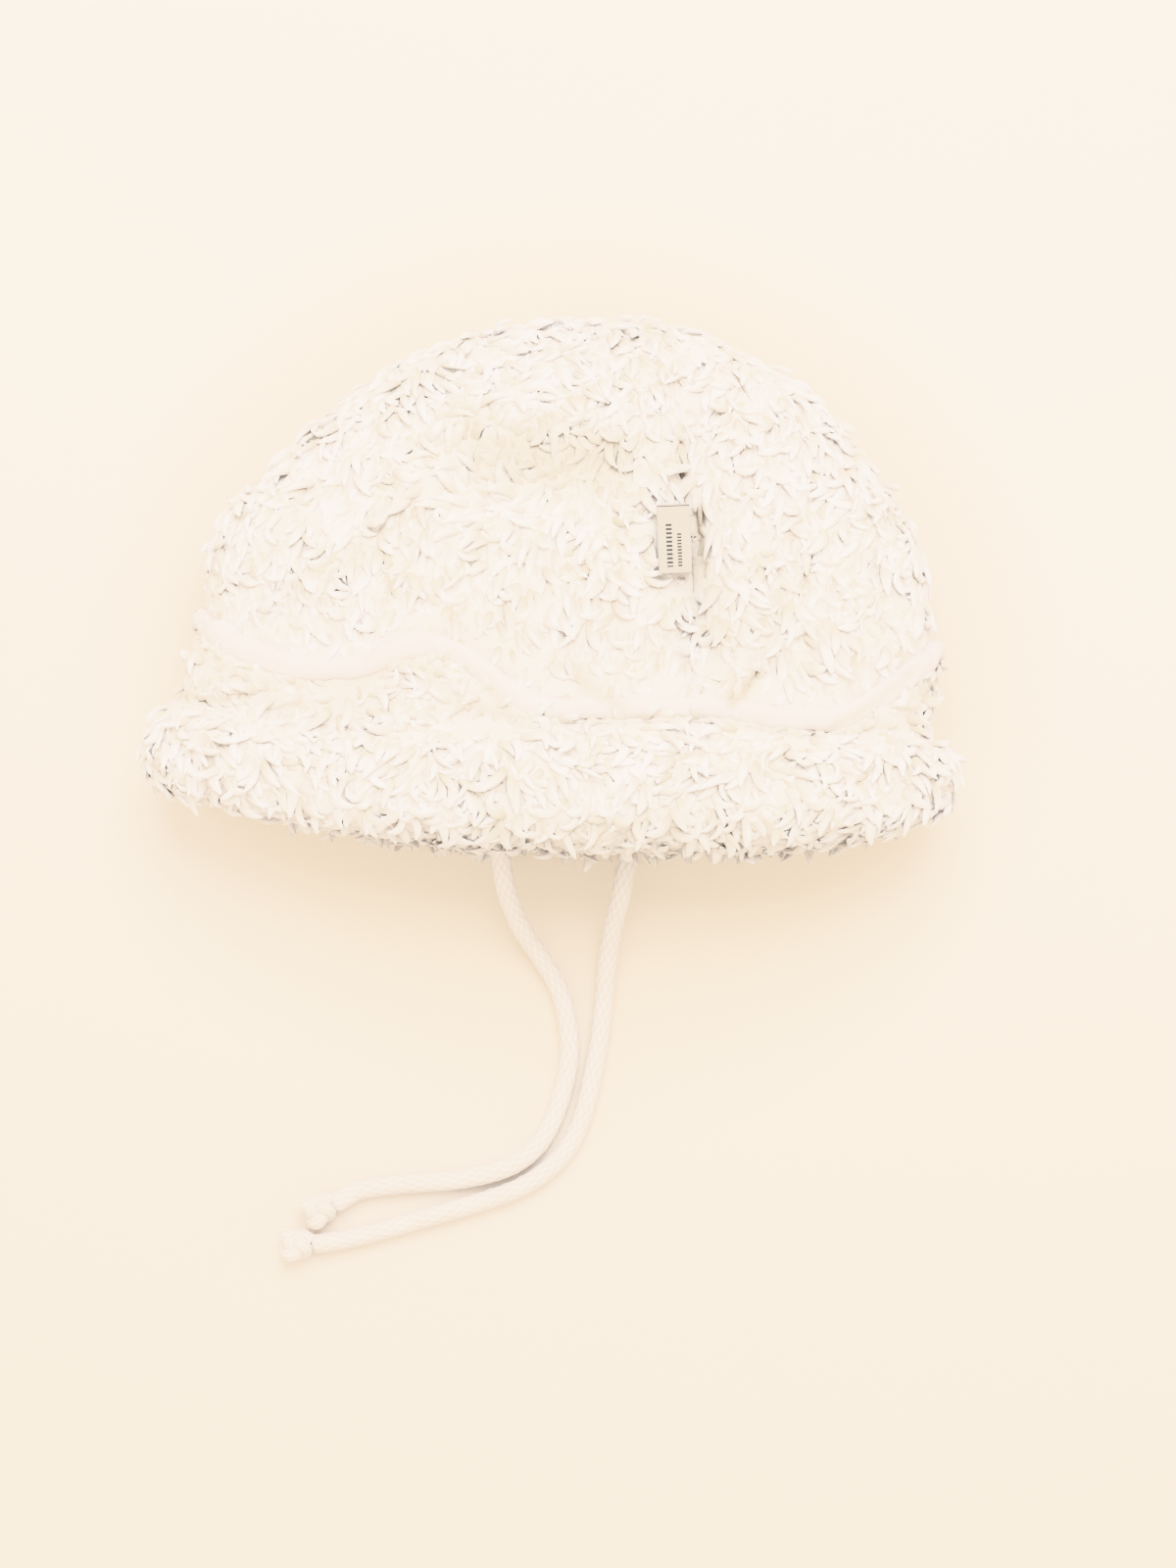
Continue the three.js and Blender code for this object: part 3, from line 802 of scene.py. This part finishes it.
def overhand_path(end, before, centre, reach):
    """An overhand knot's curve, pulled tight: in from the tie's end, round once and out again."""
    gap_angle = 0.3
    turn = np.linspace(math.pi + gap_angle, 3 * math.pi - gap_angle, 90)
    ring = np.column_stack([
        np.sin(turn) + 2 * np.sin(2 * turn),
        np.cos(turn) - 2 * np.cos(2 * turn),
        -2.1 * np.sin(3 * turn),
    ])
    lead = np.array([(-5.2, -0.6, 0.0), (-3.9, -1.6, -0.6), (-2.0, -2.6, -0.9)])
    tail = np.array([(1.6, -3.5, 0.9), (3.2, -4.0, 0.9)])
    shape = np.vstack([lead, ring[::6], tail]) * reach / 3
    along = Vector(end) - Vector(before)
    spin = np.array(Matrix.Rotation(math.atan2(along.y, along.x), 3, "Z"))
    return smooth_path((shape @ spin.T + np.array(centre)) / MM, KNOT_RINGS)


class NIGHTCAP_OT_ties(bpy.types.Operator):
    """Lays the two braided ties along their routes, with a real overhand knot at each end"""

    bl_idname = "nightcap.ties"
    bl_label = "Ties and knots"

    def execute(self, context):
        sizes = context.scene.nightcap_ties
        braid = cord_material("Braided cotton", sizes.cord_colour)
        for side, route in TIE_POINTS.items():
            path = smooth_path(route, TIE_RINGS)
            into_knot = unit(path[-1] - path[-4]) * np.array(DRAWN_STEPS) * MM
            drawn = np.vstack([path, path[-1] + into_knot])
            radii = np.full(len(drawn), sizes.diameter / 2)
            radii[-4:] *= DRAWN_SHARES
            tie = braided_tube(f"braided_tie_{side}", drawn, radii, sizes.pitch, sizes.relief)
            finish_piece(tie, "braided_cord", braid, f"tie_{side}")
            low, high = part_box(f"knot_{side}")
            centre = (np.array(low) + np.array(high)) / 2
            knot_path = overhand_path(path[-1], path[-12], centre, KNOT_REACH)
            knot_path[:, 2] += sizes.diameter / 10 + KNOT_RADIUS - knot_path[:, 2].min()
            knot = braided_tube(
                f"overhand_knot_{side}", knot_path, np.full(len(knot_path), KNOT_RADIUS),
                sizes.pitch, sizes.relief, KNOT_SIDES,
            )
            finish_piece(knot, "braided_cord", braid, f"knot_{side}")
        return {"FINISHED"}


# Pile


def surface_samples(piece, spacing, keep, random):
    """Points scattered over a piece no nearer than a spacing, with their normals.

    spacing gives each point's own least distance, and keep says which candidates may stay.
    """
    mesh = piece.data
    mesh.calc_loop_triangles()
    corners = np.empty(len(mesh.loop_triangles) * 3, np.int32)
    mesh.loop_triangles.foreach_get("vertices", corners)
    corners = corners.reshape(-1, 3)
    points, normals = points_of(piece), normals_of(piece)
    a, b, c = (points[corners[:, k]] for k in range(3))
    areas = np.linalg.norm(np.cross(b - a, c - a), axis=1) / 2
    count = int(areas.sum() / CANDIDATE_GAP**2)
    chosen = random.choice(len(areas), count, p=areas / areas.sum())
    u, v = random.random((2, count, 1))
    flip = (u + v) > 1
    u, v = np.where(flip, 1 - u, u), np.where(flip, 1 - v, v)
    place = a[chosen] * (1 - u - v) + b[chosen] * u + c[chosen] * v
    facing = unit(
        normals[corners[chosen, 0]] * (1 - u - v)
        + normals[corners[chosen, 1]] * u
        + normals[corners[chosen, 2]] * v
    )
    allowed = keep(place, facing)
    place, facing = place[allowed], facing[allowed]
    least = spacing(place)
    cell = float(least.max())
    grid = {}
    taken = []
    keys = np.floor(place / cell).astype(int)
    for i, (x, y, z) in enumerate(keys.tolist()):
        near = [
            j
            for dx in (-1, 0, 1)
            for dy in (-1, 0, 1)
            for dz in (-1, 0, 1)
            for j in grid.get((x + dx, y + dy, z + dz), ())
        ]
        if near:
            gaps = place[near] - place[i]
            if np.min(np.einsum("ij,ij->i", gaps, gaps)) < least[i] ** 2:
                continue
        grid.setdefault((x, y, z), []).append(i)
        taken.append(i)
    return place[taken], facing[taken]


def locks_mesh(name, roots, normals, flow, sizes, random, rings=6, sides=8, plies=2):
    """Curled locks of pile as one mesh, each a tube with a few twisted flutes.

    U runs along each lock, and the whole part of V is its number.
    """
    count = len(roots)
    across = np.cross(normals, flow)
    proud = random.random(count) < PROUD_SHARE
    length = sizes["length"] * random.uniform(*LENGTH_SHARES, count)
    radius = sizes["radius"] * random.uniform(*RADIUS_SHARES, count)
    rise = np.radians(random.uniform(*RISE_ANGLES, count) + PROUD_RISE * proud)
    fall = rise + np.radians(random.uniform(*FALL_ANGLES, count))
    heading = np.radians(random.normal(0, sizes["stray"], count))
    bend = np.radians(random.normal(0, sizes["curl"], count))
    groove = random.uniform(*GROOVE_DEPTHS, count)
    twist = random.uniform(*TWISTS, count) * np.where(random.random(count) < 0.5, -1, 1)
    phase = random.uniform(0, 2 * math.pi, count)
    # Spines: each lock rises from its root, then bends over and aside
    centre = roots - normals * sizes["sunk"]
    step = (length / (rings - 1))[:, None]
    spine = [centre]
    for ring in range(1, rings):
        share = (ring - 0.5) / (rings - 1)
        lift = rise - fall * share**0.8
        turn = heading + bend * share
        forward = flow * np.cos(turn)[:, None] + across * np.sin(turn)[:, None]
        forward = forward * np.cos(lift)[:, None] + normals * np.sin(lift)[:, None]
        centre = centre + step * forward
        spine.append(centre)
    spine = np.array(spine)
    tangents = unit(np.gradient(spine, axis=0))
    first = unit(np.cross(tangents, normals[None]) + 1e-9)
    second = np.cross(tangents, first)
    # Tubes round the spines
    shares = np.linspace(0, 1, rings)
    around = (np.arange(sides) / sides * 2 * math.pi)[None, None]
    lobe = plies * around + phase[None, :, None] + (twist[None] * shares[:, None])[..., None]
    profile = np.clip(1 - shares**3.2 * 0.72, 0, 1) * np.minimum(1, 0.7 + 1.4 * shares)
    fluted = 1 + groove[None, :, None] * np.cos(lobe)
    reach = (profile[:, None] * radius[None])[..., None] * fluted
    first, second = first[:, :, None], second[:, :, None]
    cosine, sine = np.cos(around)[..., None], np.sin(around)[..., None]
    flat = first * (FLATTENED[0] * cosine) + second * (FLATTENED[1] * sine)
    tubes = spine[:, :, None] + flat * reach[..., None]
    slope = plies * groove[None, :, None] * np.sin(lobe)
    facing = unit(
        first * cosine + second * sine + (second * cosine - first * sine) * slope[..., None]
    )
    tips = spine[-1] + tangents[-1] * (radius * 0.35)[:, None]
    tails = spine[0] - tangents[0] * (radius * 0.2)[:, None]
    points = tubes.transpose(1, 0, 2, 3).reshape(count, rings * sides, 3)
    points = np.concatenate([points, tips[:, None], tails[:, None]], axis=1)
    facing = facing.transpose(1, 0, 2, 3).reshape(count, rings * sides, 3)
    facing = np.concatenate([facing, tangents[-1][:, None], -tangents[0][:, None]], axis=1)
    # Normals are turned towards the cloth's, which softens the shading
    level = np.sum(facing * normals[:, None], axis=-1, keepdims=True)
    soft = sizes["soft"] * np.clip((level + 0.3) / 0.8, 0, 1)
    facing = unit(facing * (1 - soft) + normals[:, None] * soft)
    tip, tail = rings * sides, rings * sides + 1
    quads, start, end = tube_faces(rings, sides, tail, tip)
    caps = np.vstack([end, start])
    starts = (np.arange(count) * (tail + 1))[:, None, None]
    plan = np.vstack([
        np.stack(np.meshgrid(shares, np.arange(sides) / sides, indexing="ij"), -1).reshape(-1, 2),
        [[1, 0.5], [0, 0.5]],
    ])
    uv = np.tile(plan[None], (count, 1, 1))
    uv[:, :, 1] += random.integers(0, SHADES, count)[:, None]
    points = sizes["settle"](points.reshape(-1, 3))
    quads, caps = (quads[None] + starts).reshape(-1, 4), (caps[None] + starts).reshape(-1, 3)
    return mesh_object(name, points, quads, caps, uv.reshape(-1, 2), facing.reshape(-1, 3))


def node_tree_of(*nodes):
    """A tree of some nodes' faces, for casting rays."""
    joined = bmesh.new()
    for node in nodes:
        joined.from_mesh(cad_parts[node].data)
    tree = BVHTree.FromBMesh(joined)
    joined.free()
    return tree


def uncovered(points, normals, tree, reach):
    """Which points have nothing of a tree within reach along their normals."""
    rays = ((Vector(point), Vector(normal)) for point, normal in zip(points, normals))
    hits = [tree.ray_cast(point + way * 0.15 * MM, way, reach)[0] for point, way in rays]
    return np.array([hit is None for hit in hits], bool)


def wander(points, scale, phase):
    """A smooth number from -1 to 1 that changes over a surface."""
    x, y, z = (points / scale).T
    return (
        np.sin(x * 1.7 + 2.1 * np.sin(y * 1.1 + phase) + z)
        + np.sin(y * 1.9 - 1.7 * np.sin(x * 0.9 + 1.3 * phase) + 0.6 * z + phase)
    ) / 2


def flow_towards(normals, direction):
    """A direction laid flat on the surface."""
    return unit(direction - normals * np.sum(direction * normals, axis=1, keepdims=True))


class Edge:
    """Where the binding lies, by angle round the mouth."""

    def __init__(self):
        points = points_of(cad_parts["binding"])
        turn = turn_of(points)
        near = [np.abs(turn - t) < 0.06 for t in np.linspace(-math.pi, math.pi, 181)]
        near = [band for band in near if band.any()]
        self.order = np.array([turn[band].mean() for band in near])
        self.low = np.array([points[band, 1].min() for band in near])
        self.high = np.array([points[band, 1].max() for band in near])

    def above(self, points):
        """How far points lie above the binding, towards the crown's top."""
        return points[:, 1] - np.interp(turn_of(points), self.order, self.high)

    def across(self, points):
        """How far points lie up from the binding's lower edge."""
        return points[:, 1] - np.interp(turn_of(points), self.order, self.low)


def turn_of(points):
    """The angle of points round the mouth."""
    return np.arctan2(
        (points[:, 2] - HOLLOW.z) / HOLLOW_HALF.z, (points[:, 0] - HOLLOW.x) / HOLLOW_HALF.x
    )


def half_hidden(points):
    """How far the pile closes over the binding, which is most in front of the middle."""
    return np.exp(-(((points[:, 0] - CLOSED_MIDDLE) / CLOSED_REACH) ** 2))


def crown_lay(points, normals, edge):
    """How the crown's locks lie, how far they are lifted and their share of the full length.

    They run down to the mouth, swirl round the dent and close over the side seam.
    """
    direction = np.tile((0.0, -1.0, 0.0), (len(points), 1))
    away = points - np.array(DENT) * MM
    near = np.exp(-np.sum((away / DENT_REACH) ** 2, axis=1))[:, None]
    swirl = unit(np.cross(away, (0.0, 0.0, 1.0)))
    direction = direction * (1 - near) + swirl * near * 1.1
    large, small = CROWN_WAVES
    lean = 0.5 * wander(points, large, 0.4) + 0.35 * wander(points, small, 2.0)
    direction = direction + np.cross(normals, direction) * lean[:, None]
    low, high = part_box("label")
    seam = (low.x + high.x) / 2 + 4.5 * MM
    aside = points[:, 0] - seam
    close = np.exp(-((aside / SEAM_REACH) ** 2)) * (points[:, 2] > HOLLOW.z)
    direction[:, 0] -= np.sign(aside) * close * 0.8
    above = np.clip(edge.above(points), 0, None)
    middle = half_hidden(points)
    bank = (2.4 + 1.2 * middle) * MM * np.exp(-above / CROWN_BANK)
    bank += TUFT_RISE * wander(points, TUFT_SIZE, 5.0)
    share = np.clip(0.5 + 0.35 * middle + above / SHORT_REACH, 0, 1)
    apart = np.abs(points[:, :2] - (np.array(low + high) / 2)[:2]) / MM
    by_label = (apart < BY_LABEL).all(axis=1)
    share[by_label] = 0.5
    bank[by_label] -= 0.8 * MM
    return flow_towards(normals, direction + 1e-6), bank, share


def brim_lay(points, normals, edge):
    """The same for the brim's locks: in tangled tufts, some over the binding's lower edge."""
    direction = np.tile((0.0, -0.8, 0.0), (len(points), 1))
    large, small = BRIM_WAVES
    lean = 1.5 * wander(points, large, 1.1) + 0.8 * wander(points, small, 3.0)
    direction = direction + np.cross(normals, direction) * lean[:, None]
    below = np.clip(-edge.across(points), 0, None)
    near = np.exp(-below / BRIM_BANK)
    direction[:, 1] += 1.5 * near
    middle = half_hidden(points)
    bank = (1.3 + 0.8 * middle) * MM * near + TUFT_RISE * wander(points, TUFT_SIZE, 4.0)
    share = np.clip(0.65 + 0.3 * middle + below / SHORT_REACH, 0, 1)
    return flow_towards(normals, direction + 1e-6), bank, share


def above_floor(points):
    """Lifts what would go through the table, so that it lies on it."""
    low, band = LOCKS_LOWEST, 1 * MM
    sunk = points[:, 2] < low + band
    points[sunk, 2] = low + band * np.exp((points[sunk, 2] - low - band) / (2 * MM))
    return points


class NIGHTCAP_OT_crown(bpy.types.Operator):
    """Covers the two crown panels in curled locks over their knitted ground"""

    bl_idname = "nightcap.crown"
    bl_label = "Crown panels"

    def execute(self, context):
        cover_in_pile(context, "crown_panel_left", "crown_left", crown_lay)
        cover_in_pile(context, "crown_panel_right", "crown_right", crown_lay)
        return {"FINISHED"}


class NIGHTCAP_OT_brim(bpy.types.Operator):
    """Covers the turned-up brim in tangled locks over its knitted ground"""

    bl_idname = "nightcap.brim"
    bl_label = "Brim"

    def execute(self, context):
        cover_in_pile(context, "brim", "brim", brim_lay)
        return {"FINISHED"}


def cover_in_pile(context, node, name, lay):
    """Makes a node's knitted ground and the locks that stand on its outer side."""
    sizes = context.scene.nightcap_cap
    random = np.random.default_rng(sizes.seed + len(name))
    brim = node == "brim"
    ground = smooth_copy(node, f"{name}_ground", 1)
    points, normals = points_of(ground), normals_of(ground)
    outward = outwardness(points, normals)
    raised = np.clip(points[:, 2] / (4 * MM), 0.15, 1)
    depth = sizes.pile_depth * np.clip((outward - 0.1) / 0.5, 0, 1) * raised
    others = ("crown_panel_left", "crown_panel_right") if brim else ("brim",)
    cover = node_tree_of(*others)
    above = (
        (cover, COVER_REACH),
        (node_tree_of("binding"), TAPE_REACH),
        (node_tree_of("label"), LABEL_REACH),
    )

    def keep(place, normal):
        """Locks may root on the outer side, where no other piece lies close above."""
        wanted = outwardness(place, normal) > (-2 if brim else 0.25)
        index = np.flatnonzero(wanted)
        wanted[index] = np.all(
            [uncovered(place[index], normal[index], tree, reach) for tree, reach in above], axis=0
        )
        return wanted

    def spacing(place):
        """Locks stand closer where they are seen."""
        return np.where(place[:, 2] > SEEN_FROM, sizes.spacing_seen, sizes.spacing_under)

    edge = Edge()
    roots, facing = surface_samples(ground, spacing, keep, random)
    lifted = lay(points, normals, edge)[1] * np.clip((outward - 0.3) / 0.3, 0, 1)
    lifted *= uncovered(points, normals, cover, COVER_REACH)
    seam = (points[:, 0] > SEAM_PLACE[0]) & (points[:, 0] < SEAM_PLACE[1])
    seam &= np.abs(normals[:, 0]) > 0.7
    moved = np.where(seam & (not brim), SEAM_LAP, lifted - depth)
    moved -= CREASE_FALL * crease_depth(points) * (moved < SEAM_LAP)
    points = points + normals * moved[:, None]
    points[:, 2] = np.maximum(points[:, 2], GROUND_LOWEST)
    move_points(ground, points)
    mark_creases(ground, edge)
    finish_piece(ground, "plush", bpy.data.materials["Knitted ground"], node)
    pile = bpy.data.materials["Loop pile"]
    label_low, label_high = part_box("label")

    def settle(place):
        """Keeps locks off the table and from coming through the label."""
        place = above_floor(place)
        inside = (place[:, 0] > label_low.x) & (place[:, 0] < label_high.x + 1 * MM)
        inside &= (place[:, 1] > label_low.y) & (place[:, 1] < label_high.y)
        roof = label_high.z - UNDER_LABEL
        high = inside & (place[:, 2] > roof)
        place[high, 2] = roof - 0.1 * MM
        return place

    lock = {
        "length": sizes.lock_length,
        "radius": sizes.lock_radius,
        "stray": 24 if brim else 16,
        "curl": 85 if brim else 65,
        "sunk": LOCK_SUNK + sizes.pile_depth,
        "soft": 0.35,
        "settle": settle,
    }
    parts = math.ceil(len(roots) / LOCKS_PER_PIECE)
    for part, index in enumerate(np.array_split(np.arange(len(roots)), parts)):
        flow, bank, share = lay(roots[index], facing[index], edge)
        bank -= CREASE_FALL * crease_depth(roots[index])
        place = roots[index] + facing[index] * bank[:, None]
        sized = {**lock, "length": lock["length"] * share}
        piece = locks_mesh(f"{name}_pile_{part + 1}", place, facing[index], flow, sized, random)
        mark_creases(piece, edge)
        finish_piece(piece, "plush", pile, node)


# Binding and label


class NIGHTCAP_OT_binding(bpy.types.Operator):
    """Rounds the jersey binding, puckers it and gives it its knit"""

    bl_idname = "nightcap.binding"
    bl_label = "Binding"

    def execute(self, context):
        sizes = context.scene.nightcap_cap
        piece = smooth_copy("binding", "jersey_binding", 2)
        points, normals = points_of(piece), normals_of(piece)
        edge = Edge()
        across, above = edge.across(points), edge.above(points)
        share = np.clip(across / np.maximum(across - above, 1 * MM), 0, 1)
        around = turn_of(points) * MOUTH_RADIUS
        flat = np.column_stack([around, across * 0.6, around * 0])
        pucker = 0.4 * MM * wander(flat, 2.6 * MM, 0.7) + 0.3 * MM * wander(flat, 9 * MM, 2.2)
        pucker += (BINDING_BULGE * (1 - (2 * share - 1) ** 4) - 0.5) * MM
        move_points(piece, points + normals * pucker[:, None])
        mark_creases(piece, edge)
        lay_uv(piece, np.column_stack([around, across]))
        material = jersey_material("Jersey tape", sizes.binding_colour)
        finish_piece(piece, "jersey_binding", material, "binding")
        return {"FINISHED"}


class NIGHTCAP_OT_label(bpy.types.Operator):
    """Makes the folded woven label in the side seam"""

    bl_idname = "nightcap.label"
    bl_label = "Label"

    def execute(self, context):
        sizes = context.scene.nightcap_ties
        piece = merged_copy("label", "woven_label")
        low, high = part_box("label")
        middle = np.array((low + high) / 2)
        lean = np.array(Matrix.Rotation(-LABEL_TURN, 3, "Z"))
        right = ((points_of(piece) - middle) @ lean.T)[:, 0].max()
        apply_modifier(piece, "BEVEL", width=0.25 * MM, segments=3)
        apply_modifier(piece, "SUBSURF", levels=1, render_levels=1)
        local = (points_of(piece) - middle) @ lean.T
        lay_uv(piece, np.column_stack([local[:, 1], right - local[:, 0]]))
        material = label_material("Woven tape", sizes.label_colour, sizes.thread_colour)
        finish_piece(piece, "woven_label", material, "label")
        return {"FINISHED"}


# Stage


class NIGHTCAP_OT_stage(bpy.types.Operator):
    """Adds the camera over the cap, a pale floor and soft light"""

    bl_idname = "nightcap.stage"
    bl_label = "Camera, floor and light"

    def execute(self, context):
        sizes = context.scene.nightcap_stage
        bpy.ops.object.camera_add(location=CAMERA_PLACE, rotation=(0, 0, 0))
        camera = context.object
        camera.data.sensor_width = SENSOR_WIDTH
        reach = CAMERA_PLACE.z - OUTLINE_HEIGHT
        camera.data.lens = SENSOR_WIDTH * reach / (PHOTO_HEIGHT * PHOTO_SCALE)
        context.scene.camera = camera
        bpy.ops.mesh.primitive_plane_add(size=FLOOR_SIZE, location=(0, 0, 0))
        floor = context.object
        floor.name = "floor"
        paper = floor_material("Pale floor", sizes.floor_colour, sizes.floor_painted_glow)
        floor.data.materials.append(paper)
        bpy.ops.object.light_add(type="AREA", location=LAMP_PLACE)
        lamp = context.object
        lamp.name = "soft_lamp"
        lamp.data.shape = "DISK"
        lamp.data.size = LAMP_SIZE
        lamp.data.energy = sizes.lamp_power
        lamp.data.color = LAMP_COLOUR
        lamp.rotation_euler = (-lamp.location).to_track_quat("-Z", "Y").to_euler()
        world = bpy.data.worlds.new("Soft room")
        world.use_nodes = True
        sky = world.node_tree.nodes["Background"]
        sky.inputs["Color"].default_value = rgb(sizes.sky_colour)
        sky.inputs["Strength"].default_value = sizes.sky_strength
        context.scene.world = world
        context.scene.view_settings.view_transform = "Khronos PBR Neutral"
        return {"FINISHED"}


class NIGHTCAP_OT_materials(bpy.types.Operator):
    """Makes the finishes that several pieces share"""

    bl_idname = "nightcap.materials"
    bl_label = "Shared finishes"

    def execute(self, context):
        sizes = context.scene.nightcap_cap
        # The locks' roots take painted shade down to 0.64 of their colour
        pile_material("Loop pile", sizes.pile_colour, 0.64)
        ground_material("Knitted ground", shade(sizes.pile_colour, 0.94))
        return {"FINISHED"}


class NIGHTCAP_PT_panel(bpy.types.Panel):
    """Lists the nightcap's steps and settings"""

    bl_idname = "NIGHTCAP_PT_panel"
    bl_label = "Nightcap"
    bl_space_type = "VIEW_3D"
    bl_region_type = "UI"
    bl_category = "Nightcap"

    def draw(self, context):
        layout = self.layout
        for group in GROUPS:
            settings = getattr(context.scene, group)
            box = layout.box()
            for key in settings.__annotations__:
                box.prop(settings, key)
        for step in STEPS:
            layout.operator(step.bl_idname)


GROUPS = {
    "nightcap_cap": CapSettings,
    "nightcap_ties": TieSettings,
    "nightcap_stage": StageSettings,
}
STEPS = (
    NIGHTCAP_OT_stage,
    NIGHTCAP_OT_ties,
    NIGHTCAP_OT_materials,
    NIGHTCAP_OT_crown,
    NIGHTCAP_OT_brim,
    NIGHTCAP_OT_binding,
    NIGHTCAP_OT_label,
)


def register():
    for name, group in GROUPS.items():
        bpy.utils.register_class(group)
        setattr(bpy.types.Scene, name, bpy.props.PointerProperty(type=group))
    for step in (*STEPS, NIGHTCAP_PT_panel):
        bpy.utils.register_class(step)


def unregister():
    for step in (NIGHTCAP_PT_panel, *reversed(STEPS)):
        bpy.utils.unregister_class(step)
    for name, group in reversed(GROUPS.items()):
        delattr(bpy.types.Scene, name)
        bpy.utils.unregister_class(group)


def main():
    register()
    bpy.ops.nightcap.stage()
    bpy.ops.nightcap.ties()
    bpy.ops.nightcap.materials()
    bpy.ops.nightcap.crown()
    bpy.ops.nightcap.brim()
    bpy.ops.nightcap.binding()
    bpy.ops.nightcap.label()


if __name__ == "__main__":
    main()
